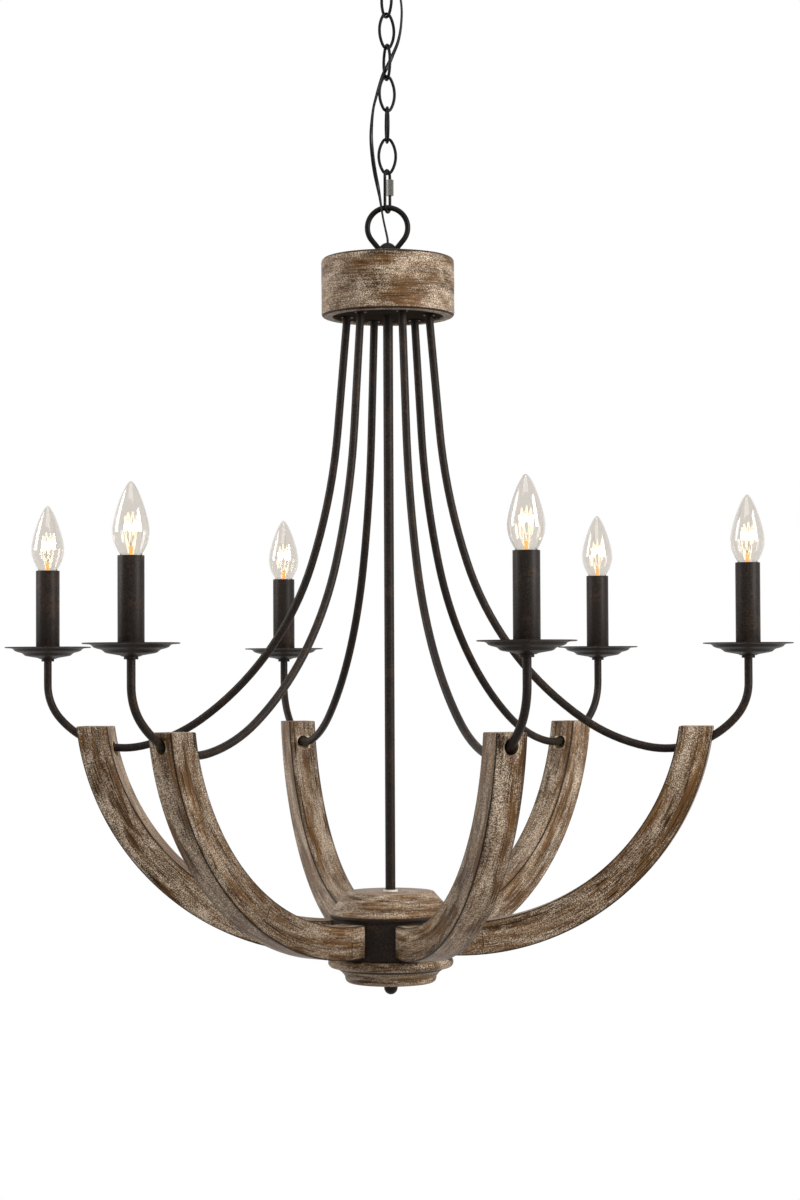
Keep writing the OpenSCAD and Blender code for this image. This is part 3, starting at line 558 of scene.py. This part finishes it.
# %% Turn the drum
drum_top, drum_foot = high_z("top_drum"), low_z("top_drum")
BORE_R = 5.1                          # for the centre rod, in the drum and the upper disc
DRUM_R, DRUM_EDGE, DRUM_LID = 66.75, 4.0, 10
LIP_R, LIP_DEPTH, HOLLOW_R = 55.6, 5.5, 52
DENT_MM, DENTS_PER_M = 0.35, 38
outline = ([(BORE_R, drum_top)]
           + arc(DRUM_R - DRUM_EDGE, drum_top - DRUM_EDGE, DRUM_EDGE, 90, 0, 7)
           + arc(DRUM_R - DRUM_EDGE, drum_foot + DRUM_EDGE, DRUM_EDGE, 0, -90, 7)
           + [(56.4, drum_foot), (LIP_R, drum_foot + 0.8), (LIP_R, drum_foot + LIP_DEPTH),
              (HOLLOW_R, drum_foot + LIP_DEPTH), (HOLLOW_R, drum_top - DRUM_LID),
              (BORE_R, drum_top - DRUM_LID)])
bm = lathe(outline, steps=160)
around = [e for e in bm.edges if abs(e.verts[0].co.z - e.verts[1].co.z) > 0.03
          and e.verts[0].co.xy.length > 0.06]
bmesh.ops.subdivide_edges(bm, edges=around, cuts=14)
for v in bm.verts:
    out = v.co.xy.length
    if out > 0.058:
        dent = noise.noise(v.co * DENTS_PER_M) * DENT_MM * MM
        v.co.xy *= (out - abs(dent)) / out
drum = finish_piece(bm, "wooden_drum", "chandelier", drum_wood, ["top_drum"])
print("drum faces:", len(drum.data.polygons))

# %% [markdown]
# The drum's grain runs round it, in streaks that are thin in height only. On the flat top that
# height would be the same everywhere, so the radius is added to it.

# %% The drum's grain
ROUND_MID, CORNER_LINE_MM = 1.2, 2.4   # place and reach of the dark line on a rounded edge


def drum_grain(p):
    """The grain of the drum at a point in mm, and the dark line along both its edges."""
    r = math.hypot(p.x, p.y)
    rim = min(abs(p.z - drum_foot - ROUND_MID), abs(p.z - drum_top + ROUND_MID))
    return (p.x, p.y, p.z + r), max(0.0, 1 - math.hypot(rim, r - DRUM_R + ROUND_MID) / CORNER_LINE_MM)


write_grain(drum, drum_grain)
print("worn points:", sum(1 for a in drum.data.attributes["corner"].data if a.value > 0))

# %% [markdown]
# ## The hub's discs
# Two turned discs clamp the steel hub. The upper one is a shallow cone with hollow sides. The
# lower one has a bead, a groove and a cove above a rounded foot. Cubic curves give the hollows,
# and short arcs the rounded edges.

# %% Turn the discs
SCREW_BORE_R = 3.2   # for the finial's screw, in the lower disc
top_z, foot_z = high_z("upper_disc"), low_z("upper_disc")
outline = ([(BORE_R, foot_z)] + arc(59, foot_z + 2, 2, -90, 0, 5)
           + cubic([(61, foot_z + 3), (59, foot_z + 9), (53, foot_z + 15),
                    (44.2, top_z - 1.2)], 10)
           + [(43.4, top_z - 0.3), (42.6, top_z), (BORE_R, top_z)])
upper = finish_piece(lathe(outline, steps=128), "upper_hub_disc", "chandelier", disc_wood,
                     ["upper_disc"])
rim_z = foot_z + 2.0
foot_z, lid_z = low_z("lower_disc"), high_z("lower_disc")
outline = ([(SCREW_BORE_R, foot_z)] + arc(40.5, foot_z + 5, 5, -90, 0, 7)
           + cubic([(45.5, foot_z + 6), (47, foot_z + 9), (50, foot_z + 12),
                    (53.6, lid_z - 11.8)], 10)
           + [(54.6, lid_z - 11.4), (55.2, lid_z - 10.2)]
           + arc(57.5, lid_z - 5.5, 5, -62, 90, 12) + [(SCREW_BORE_R, lid_z - 0.05)])
lower = finish_piece(lathe(outline, steps=128), "lower_hub_disc", "chandelier", disc_wood,
                     ["lower_disc"])
print("discs:", upper.name, lower.name)

# %% [markdown]
# The discs' grain runs round them as the drum's does. Under the upper disc's rim and in the
# lower disc's groove, painted shade darkens the wood.

# %% The discs' grain
# peak and reach of the painted shade in the discs' grooves
GROOVE_SHADE_PEAK, GROOVE_SHADE_MM = 1.2, 3.2


def disc_grain(offset, lean, groove_z, groove_r):
    """Painted shade darkens the wood at this height and radius. Lean is 1 where the side widens
    upward and -1 where it widens downward, so that the grain keeps its width. Offset takes each
    disc from another place in the plank."""
    def place_of(p):
        r = math.hypot(p.x, p.y)
        near = GROOVE_SHADE_PEAK - math.hypot(p.z - groove_z, r - groove_r) / GROOVE_SHADE_MM
        return (p.x + offset, p.y, p.z + lean * r), min(1.0, max(0.0, near))
    return place_of


# painted shade under the upper disc's rim and in the lower disc's groove
write_grain(upper, disc_grain(300, -1, rim_z, 61.0))
write_grain(lower, disc_grain(900, 1, lid_z - 11.6, 54.2))
print("dark grooves at", round(rim_z, 1), "and", round(lid_z - 11.6, 1), "mm")

# %% [markdown]
# ## The wooden arms
# Each arm is a bent square bar, glued up from short lengths, a quarter circle on its side. A
# rectangle spun part of the way round a circle gives it. The inner end is hollowed to fit the
# round hub, and the top is sawn level. A drilled hole takes the lamp tube.

# %% Shape one arm
HUB_R = 57.5
ARM_IN, ARM_T, ARM_W = 222.5, 32.5, 30.0   # inner radius, thickness, width
ARM_START, ARM_END = -2.2, 83              # of the spin, in degrees from the lowest point
ARM_EDGE = 1.3
HUB_PLAY = 0.00005                         # metres
ARM_MID = ARM_IN + ARM_T / 2
ARM_CX = HUB_R + 10.5
ARM_CZ = (low_z("arm_spool") + high_z("arm_spool")) / 2 + ARM_MID
ARM_TOP = high_z("wood_arm_1")
HOLE_D = 13.5


def arm_place(radius, theta):
    """A point of the arm's middle plane, in mm. Theta counts from the lowest point, outward."""
    a = math.radians(theta)
    return ARM_CX + radius * math.sin(a), ARM_CZ - radius * math.cos(a)


def arm_bmesh():
    """One arm along +X, hollowed at the hub and sawn level at the top, with rounded edges."""
    bm = bmesh.new()
    corners = [(ARM_IN, -ARM_W / 2), (ARM_IN + ARM_T, -ARM_W / 2),
               (ARM_IN + ARM_T, ARM_W / 2), (ARM_IN, ARM_W / 2)]
    ring = []
    for r, y in corners:
        x, z = arm_place(r, ARM_START)
        ring.append(bm.verts.new((x * MM, y * MM, z * MM)))
    edges = [bm.edges.new((a, b)) for a, b in zip(ring, ring[1:] + ring[:1])]
    bmesh.ops.subdivide_edges(bm, edges=edges, cuts=3)
    first = bm.verts[:]
    spun = bmesh.ops.spin(bm, geom=bm.verts[:] + bm.edges[:], cent=(ARM_CX * MM, 0, ARM_CZ * MM),
                          axis=(0, -1, 0), angle=math.radians(ARM_END - ARM_START), steps=72)
    last = [v for v in spun["geom_last"] if isinstance(v, bmesh.types.BMVert)]
    for v in first:
        r = math.hypot(v.co.x - ARM_CX * MM, v.co.z - ARM_CZ * MM)
        v.co.x = math.sqrt((HUB_R * MM) ** 2 - v.co.y ** 2) + HUB_PLAY
        v.co.z = ARM_CZ * MM - math.sqrt(r ** 2 - (v.co.x - ARM_CX * MM) ** 2)
    for v in last:
        r = math.hypot(v.co.x - ARM_CX * MM, v.co.z - ARM_CZ * MM)
        v.co.z = ARM_TOP * MM
        v.co.x = ARM_CX * MM + math.sqrt(r ** 2 - ((ARM_CZ - ARM_TOP) * MM) ** 2)
    bmesh.ops.holes_fill(bm, edges=[e for e in bm.edges if len(e.link_faces) == 1])
    bmesh.ops.recalc_face_normals(bm, faces=bm.faces)
    sharp = [e for e in bm.edges if len(e.link_faces) == 2
             and e.calc_face_angle(0) > math.radians(50)]
    bmesh.ops.bevel(bm, geom=sharp, offset=ARM_EDGE * MM, segments=3, profile=0.5, affect='EDGES',
                    material=-1, clamp_overlap=True)
    return bm


blank_bm = arm_bmesh()
print("arm faces:", len(blank_bm.faces),
      "loose edges:", sum(1 for e in blank_bm.edges if not e.is_manifold))

# %% [markdown]
# The lamp tube bends inside the arm, so its hole has to lie where the tube crosses the arm's
# middle. We walk along the tube as the CAD model does, from the plate down: a straight, then
# bends that each start where the one before ends. The last bend's circle and the arm's circle
# cross at a corner of a triangle whose three sides are known, and the law of cosines gives it.

# %% Find the hole
TUBE_LEAN = 5                                    # degrees, where the tube leaves the plate
TUBE_R = 41.7                                    # there, from the axis
TUBE_RISE, TUBE_STRAIGHT = 15, 115               # above the plate's foot, and under that
TUBE_BENDS = ((610, 13), (304, 37), (170, 23))   # radius and degrees
ARM_BEND = 91                                    # radius of the bend inside the arm


def tube_bend():
    """Centre of the tube's bend inside the arm, in mm."""
    lean = math.radians(TUBE_LEAN)
    run = TUBE_STRAIGHT + TUBE_RISE / math.cos(lean)
    r = TUBE_R - TUBE_RISE * math.tan(lean) + run * math.sin(lean)
    z = low_z("drum_plate") + TUBE_RISE - run * math.cos(lean)
    heading = lean
    for size, angle in TUBE_BENDS:
        after = heading + math.radians(angle)
        r += size * (math.cos(heading) - math.cos(after))
        z += size * (math.sin(heading) - math.sin(after))
        heading = after
    return r + ARM_BEND * math.cos(heading), z + ARM_BEND * math.sin(heading)


def crossing():
    """Where that bend crosses the arm's middle circle, and the tube's heading there in degrees."""
    cx, cz = tube_bend()
    dx, dz = ARM_CX - cx, ARM_CZ - cz
    apart = math.hypot(dx, dz)
    corner = math.acos((ARM_BEND ** 2 + apart ** 2 - ARM_MID ** 2) / (2 * ARM_BEND * apart))
    heading = math.atan2(dz, dx) + math.pi + corner
    return (cx - ARM_BEND * math.cos(heading), cz - ARM_BEND * math.sin(heading),
            math.degrees(heading))


hole_r, hole_z, hole_heading = crossing()
print("tube crosses the arm at", round(hole_r, 2), round(hole_z, 2),
      "heading", round(hole_heading, 2))

# %% [markdown]
# A drill is a cylinder, and a Boolean modifier takes it out of the arm. bmesh has no operator for
# this, so both shapes become objects for a moment, and the finished mesh is kept.

# %% Drill one arm
DRILL_LENGTH = 0.09   # metres

drill_bm = bmesh.new()
bmesh.ops.create_cone(drill_bm, cap_ends=True, segments=48, radius1=HOLE_D / 2 * MM,
                      radius2=HOLE_D / 2 * MM, depth=DRILL_LENGTH)
bmesh.ops.rotate(drill_bm, verts=drill_bm.verts, cent=(0, 0, 0),
                 matrix=Matrix.Rotation(math.radians(180 - hole_heading), 3, 'Y'))
bmesh.ops.translate(drill_bm, verts=drill_bm.verts, vec=(hole_r * MM, 0, hole_z * MM))
drill_mesh = bpy.data.meshes.new("drill")
drill_bm.to_mesh(drill_mesh)
drill_bm.free()
drill = bpy.data.objects.new("drill", drill_mesh)
bpy.context.scene.collection.objects.link(drill)
blank_mesh = bpy.data.meshes.new("arm_blank")
blank_bm.to_mesh(blank_mesh)
blank_bm.free()
blank = bpy.data.objects.new("arm_blank", blank_mesh)
bpy.context.scene.collection.objects.link(blank)
cut = blank.modifiers.new("hole", 'BOOLEAN')
cut.operation = 'DIFFERENCE'
cut.object = drill
cut.solver = 'EXACT'
finished = blank.evaluated_get(bpy.context.evaluated_depsgraph_get())
drilled = bpy.data.meshes.new_from_object(finished)
bpy.data.objects.remove(blank)
bpy.data.objects.remove(drill)
print("drilled arm faces:", len(drilled.polygons))

# %% [markdown]
# The drilled arm is copied and turned into its six places. The grain has to follow the bend, so
# each point's place in the plank is its angle along the curve, its height in the bar and its
# place across it. The wall of the hole is bare wood, and its faces get their own material.

# %% Place the six arms
GRAIN_R = 240                       # about the arm's mean radius, turns its angle into a length
SEED_ALONG, SEED_ACROSS = 613, 57   # each arm comes from another place in the plank
ARM_CORNER_LINE_MM = 2.2                   # reach of the dark line along a corner
HOLE_SHARE = 0.51                   # a face nearer to the axis than this share of the hole's
                                    # diameter is its wall


def arm_grain(seed, azimuth):
    """The grain of one arm, and 1 on its long corners."""
    turn_back = Matrix.Rotation(-azimuth, 3, 'Z')

    def place_of(p):
        q = turn_back @ p
        r = math.hypot(q.x - ARM_CX, q.z - ARM_CZ)
        theta = math.atan2(q.x - ARM_CX, ARM_CZ - q.z)
        across = ARM_T / 2 - abs(r - ARM_IN - ARM_T / 2)
        near = max(across, ARM_W / 2 - abs(q.y))
        where = (theta * GRAIN_R + seed * SEED_ALONG, r - ARM_IN + seed * SEED_ACROSS, q.y)
        return where, max(0.0, 1 - near / ARM_CORNER_LINE_MM)
    return place_of


for i in ARMS:
    azimuth = azimuth_of(i)
    bm = bmesh.new()
    bm.from_mesh(drilled)
    bmesh.ops.rotate(bm, verts=bm.verts, cent=(0, 0, 0), matrix=Matrix.Rotation(azimuth, 3, 'Z'))
    arm = finish_piece(bm, f"curved_arm_{i}", "chandelier", arm_wood,
                       [f"wood_arm_{i}"], sharp=35)
    write_grain(arm, arm_grain(i, azimuth))
    arm.data.materials.append(raw_pine)
    axis = Vector((math.cos(azimuth), math.sin(azimuth), 0)) * math.sin(math.radians(hole_heading))
    axis.z = -math.cos(math.radians(hole_heading))
    through = Vector((hole_r * math.cos(azimuth), hole_r * math.sin(azimuth), hole_z)) * MM
    for face in arm.data.polygons:
        away = face.center - through
        away -= axis * away.dot(axis)
        if away.length < HOLE_D * HOLE_SHARE * MM:
            face.material_index = 1
print("arms:", len(ARMS), "faces in a hole:", sum(f.material_index for f in arm.data.polygons))

# %% [markdown]
# ## Drip pans and candle sleeves
# A pan is spun from thin sheet: a flat rim, two soft steps and a small foot. Its outline goes out
# along the underside, round the rim and back along the inside.

# %% Spin the pans
for i in ARMS:
    low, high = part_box(f"drip_pan_{i}")
    centre = ((low[0] + high[0]) / 2, (low[1] + high[1]) / 2)
    z0, z1 = low[2] / MM, high[2] / MM
    under = [(4.1, z0), (8, z0), (10, z0 + 1.0), (21.1, z0 + 2.9), (23.4, z0 + 3.6),
             (24.9, z0 + 5.0), (26.6, z0 + 6.2), (31.0, z0 + 7.3), (33.6, z0 + 8.3),
             (35.2, z0 + 10.0), (36.8, z1 - 1.6), (43.2, z1 - 1.2)]
    edge = [(43.9, z1 - 0.9), (44.0, z1 - 0.4), (43.7, z1 - 0.02)]
    inside = [(36.0, z1 - 0.5), (34.4, z1 - 1.2), (32.6, z0 + 9.7), (30.4, z0 + 8.5),
              (26.0, z0 + 7.5), (24.1, z0 + 6.5), (22.6, z0 + 5.0), (20.6, z0 + 4.2),
              (13.1, z0 + 1.95), (4.1, z0 + 1.9)]
    finish_piece(lathe(under + edge + inside, centre), f"spun_pan_{i}", "chandelier",
                 dark_coat, [f"drip_pan_{i}"], sharp=55)
print("pans:", len(ARMS))

# %% [markdown]
# The candle sleeve is a plain tube over the lamp socket. It stands on the middle of its pan, and
# the lathe's small bevel rounds its ends. One CAD node holds all six sleeves, so each of the six
# pieces stands for that node.

# %% Cut the sleeves
SLEEVE_R, SLEEVE_BORE_R = 12.1, 10.9
sleeve_low, sleeve_high = low_z("candle_sleeves"), high_z("candle_sleeves")
low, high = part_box("drip_pan_1")
LAMP_R = math.hypot((low[0] + high[0]) / 2, (low[1] + high[1]) / 2)


def lamp_centre(i):
    """Where the axis of lamp i lies, in metres."""
    return LAMP_R * math.cos(azimuth_of(i)), LAMP_R * math.sin(azimuth_of(i))


outline = [(SLEEVE_R, sleeve_low), (SLEEVE_R, sleeve_high),
           (SLEEVE_BORE_R, sleeve_high), (SLEEVE_BORE_R, sleeve_low)]
for i in ARMS:
    finish_piece(lathe(outline, lamp_centre(i), 64, soften=0.3), f"candle_sleeve_{i}",
                 "chandelier", dark_coat, ["candle_sleeves"], sharp=30)
print("sleeves at radius", round(LAMP_R, 4), "m")

# %% [markdown]
# ## Bulbs
# A candle bulb is a thin glass envelope drawn to a point. Refraction needs a wall with two skins,
# so the outline runs up outside and down inside, and the spin joins both at the neck. Heights
# are counted from the top of the candle sleeve, in which the bulb's cap is hidden.

# %% The glass
GLASS_T = 0.8
BULB_R, NECK_R, BELLY_Z, TIP_Z, CAP_Z = 16.75, 6.3, 22, 66.5, -11
BELLY_HANDLE, TIP_HANDLE = 12, 6   # reach of the curve's handles above the belly and at the tip


def bulb_outline(wall):
    """Half of the glass from the neck to the tip, as seen from the side, shrunk by a wall."""
    r, neck, handle, tip = BULB_R - wall, NECK_R - wall, TIP_HANDLE - wall, TIP_Z - wall
    return (cubic([(neck, CAP_Z), (neck, 0), (r, 6), (r, BELLY_Z)], 14, closed=False)
            + cubic([(r, BELLY_Z), (r, BELLY_Z + BELLY_HANDLE), (handle, tip - 0.5),
                     (0, tip)], 24))


def above_sleeve(outline):
    """An outline lifted to the top of the candle sleeve."""
    return [(r, z + sleeve_high) for r, z in outline]


def blow_envelope(i):
    """The glass of bulb i."""
    skins = bulb_outline(0) + bulb_outline(GLASS_T)[::-1]
    finish_piece(lathe(above_sleeve(skins), lamp_centre(i), 64), f"bulb_envelope_{i}",
                 f"bulb_{i}", clear_glass, [f"bulb_glass_{i}"], sharp=60)


print("points along the glass:", len(bulb_outline(0)))

# %% [markdown]
# The cap is a thin brass shell with a rolled thread, and its contact is at the foot. A thread
# needs many rows of points on the wall. Each is then drawn in by a wave that goes through one
# turn for each pitch down the wall and one for each turn round it, which makes a helix.

# %% The screw cap
CAP_OUTLINE = [(0, CAP_Z), (5.9, CAP_Z), (5.9, -31), (4.4, -31.6), (2.5, -31.9), (2.5, -33),
               (0, -33)]
THREAD_FROM, THREAD_TO, THREAD_PITCH = 2, 18, 2.5   # below the cap's rim
THREAD_DEPTH = 0.055                                # as a share of the radius


def roll_cap(i):
    """The cap of bulb i, threaded at the origin and then set on the lamp's axis."""
    bm = lathe(above_sleeve(CAP_OUTLINE), steps=48)
    walls = [e for e in bm.edges if abs(e.verts[0].co.z - e.verts[1].co.z) > 0.015]
    bmesh.ops.subdivide_edges(bm, edges=walls, cuts=39)
    for v in bm.verts:
        depth = sleeve_high - v.co.z / MM + CAP_Z
        if THREAD_FROM < depth < THREAD_TO and v.co.xy.length > 0.0055:
            turns = depth / THREAD_PITCH + math.atan2(v.co.y, v.co.x) / math.tau
            v.co.xy *= 1 - THREAD_DEPTH * (0.5 - 0.5 * math.cos(math.tau * turns))
    bmesh.ops.translate(bm, verts=bm.verts, vec=(*lamp_centre(i), 0))
    finish_piece(bm, f"bulb_cap_{i}", f"bulb_{i}", cap_brass, [f"bulb_base_{i}"],
                 sharp=50)


print("turns of the thread:", (THREAD_TO - THREAD_FROM) / THREAD_PITCH)

# %% [markdown]
# A glass stem carries four wires and a filament that zigzags round a small crown, which shows as
# one bright cluster. The real wire is a coil of a few hundredths of a millimetre. A lit coil
# glares to a thick line, so it is drawn that thick. Each bulb was screwed in to another angle.

# %% Stem, wires and filament
STEM_OUTLINE = [(0, -10.8), (4.6, -10.8), (3.6, -6), (2.0, -1), (1.7, 5), (2.2, 8), (0, 9)]
WIRE_FOOT, WIRE_R = 8, 0.22
CROWN_Z, CROWN_R, CROWN_POINTS = 26, 5.6, 8
ZIGZAG, COIL_R = 3.4, 1.1
SCREWED_IN = 0.4   # radians from one bulb to the next


def rod_between(bm, a, b, radius, sides=8):
    """Adds a straight round rod from one point to another."""
    made = bmesh.ops.create_cone(bm, cap_ends=True, segments=sides, radius1=radius,
                                 radius2=radius, depth=(b - a).length)
    turn_to = (b - a).to_track_quat('Z', 'Y').to_matrix()
    bmesh.ops.rotate(bm, verts=made["verts"], cent=(0, 0, 0), matrix=turn_to)
    bmesh.ops.translate(bm, verts=made["verts"], vec=(a + b) / 2)


def mount_filament(i):
    """The stem of bulb i, with its wires and filament."""
    x, y = lamp_centre(i)
    # the stem carries the painted glow of the filament's light
    finish_piece(lathe(above_sleeve(STEM_OUTLINE), (x, y), 32), f"bulb_stem_{i}", f"bulb_{i}",
                 stem_painted_glow, sharp=60)
    wires, coil = bmesh.new(), bmesh.new()
    base = Vector((x, y, (sleeve_high + WIRE_FOOT) * MM))
    heads = []
    for k in range(CROWN_POINTS):
        b = math.tau * k / CROWN_POINTS + SCREWED_IN * i
        z = sleeve_high + CROWN_Z + (ZIGZAG if k % 2 else -ZIGZAG)
        heads.append(Vector((x + CROWN_R * MM * math.cos(b), y + CROWN_R * MM * math.sin(b),
                             z * MM)))
        if k % 2 == 0:
            rod_between(wires, base, heads[-1], WIRE_R * MM, sides=6)
    finish_piece(wires, f"bulb_wires_{i}", f"bulb_{i}", zinc)
    for p, q in zip(heads, heads[1:] + heads[:1]):
        rod_between(coil, p, q, COIL_R * MM)
        bmesh.ops.create_icosphere(coil, subdivisions=2, radius=COIL_R * MM,
                                   matrix=Matrix.Translation(p))
    finish_piece(coil, f"bulb_filament_{i}", f"bulb_{i}", white_hot, sharp=60)


for i in ARMS:
    blow_envelope(i)
    roll_cap(i)
    mount_filament(i)
print("bulbs:", len(ARMS))

# %% [markdown]
# ## Floor, light and backdrop
# The chandelier hangs free in a white studio, over a round pale floor, which fades into the white
# of the backdrop towards its edge, so that no view shows a hard horizon. Camera, glossy and
# transmission rays see the backdrop, so metal and glass show it too. The fade is a glow that
# only these rays meet, so it doesn't light the object from below.

# %% Floor
FLOOR_Z = -2.4
FLOOR_R = 5.0
FADE_FROM, FADE_TO = 0.4, 2.6   # metres from the middle of the floor
FADE_LEAST = 0.45               # share of white in the middle


def seen_directly(tree):
    """1 for camera, glossy and transmission rays, and 0 for the others."""
    ray = tree.nodes.new("ShaderNodeLightPath")
    seen = node(tree, "Math", {0: ray.outputs["Is Camera Ray"], 1: ray.outputs["Is Glossy Ray"]},
                operation='MAXIMUM')
    return node(tree, "Math", {0: seen, 1: ray.outputs["Is Transmission Ray"]},
                operation='MAXIMUM')


floor_bm = bmesh.new()
bmesh.ops.create_circle(floor_bm, cap_ends=True, segments=96, radius=FLOOR_R,
                        matrix=Matrix.Translation((0, 0, FLOOR_Z)))
floor_mesh = bpy.data.meshes.new("studio_floor")
floor_bm.to_mesh(floor_mesh)
floor_bm.free()
floor = bpy.data.objects.new("studio_floor", floor_mesh)
bpy.context.scene.collection.objects.link(floor)
floor_paint, tree, surface = new_finish("matt_white_paint")
away = node(tree, "Mapping", {"Vector": node(tree, "TexCoord", out="Object"),
                              "Scale": (1, 1, 0)})
away = node(tree, "VectorMath", {0: away}, out="Value", operation='LENGTH')
fade = node(tree, "MapRange", {"Value": away, "From Min": FADE_FROM, "From Max": FADE_TO,
                               "To Min": FADE_LEAST}, interpolation_type='SMOOTHSTEP')
fade = node(tree, "Math", {0: fade, 1: seen_directly(tree)}, operation='MULTIPLY')
paint = node(tree, "Mix", {0: fade, 6: "#dedcd9", 7: "#000000"}, out=2, data_type='RGBA')
feed(tree, surface, {"Base Color": paint, "Roughness": 0.9, "Specular IOR Level": 0.0,
                     "Emission Color": "#ffffff", "Emission Strength": fade})
floor_mesh.materials.append(floor_paint)
print("floor at", FLOOR_Z, "m")

# %% [markdown]
# Soft light comes from a large panel on each side and a third one above the front. Large panels
# give soft shadow edges, as a studio's do, and the right one is the brightest.

# %% Lights
MIDDLE = (0, 0, -0.72)   # of the chandelier


def panel(name, at, width, height, watts):
    """A soft rectangular lamp, in metres, that faces the chandelier."""
    lamp = bpy.data.lights.new(name, 'AREA')
    lamp.shape = 'RECTANGLE'
    lamp.size, lamp.size_y = width, height
    lamp.energy = watts
    holder = bpy.data.objects.new(name, lamp)
    holder.location = at
    holder.rotation_euler = (Vector(MIDDLE) - Vector(at)).to_track_quat('-Z', 'Y').to_euler()
    bpy.context.scene.collection.objects.link(holder)


panel("panel_right", (2.5, -0.9, 0.1), 1.0, 1.8, 86)
panel("panel_left", (-2.7, -0.5, 0.2), 1.2, 1.8, 54)
panel("panel_top", (0.1, -1.0, 1.3), 1.8, 1.8, 24)
print("lights:", len(bpy.data.lights))

# %% [markdown]
# The world is the white backdrop. To the rays that see it, its strength is 1, which is white. To
# the rays that carry light it is weak, because a full white sky would flatten every shadow. The
# Standard view transform shows each colour as it was written.

# %% The world
AMBIENT = 0.18

world = bpy.data.worlds.new("white_studio")
bpy.context.scene.world = world
world.use_nodes = True
tree = world.node_tree
strength = node(tree, "MapRange", {"Value": seen_directly(tree), "To Min": AMBIENT,
                                   "To Max": 1.0})
feed(tree, tree.nodes["Background"], {"Color": "#ffffff", "Strength": strength})
bpy.context.scene.view_settings.view_transform = 'Standard'
print("world:", world.name)
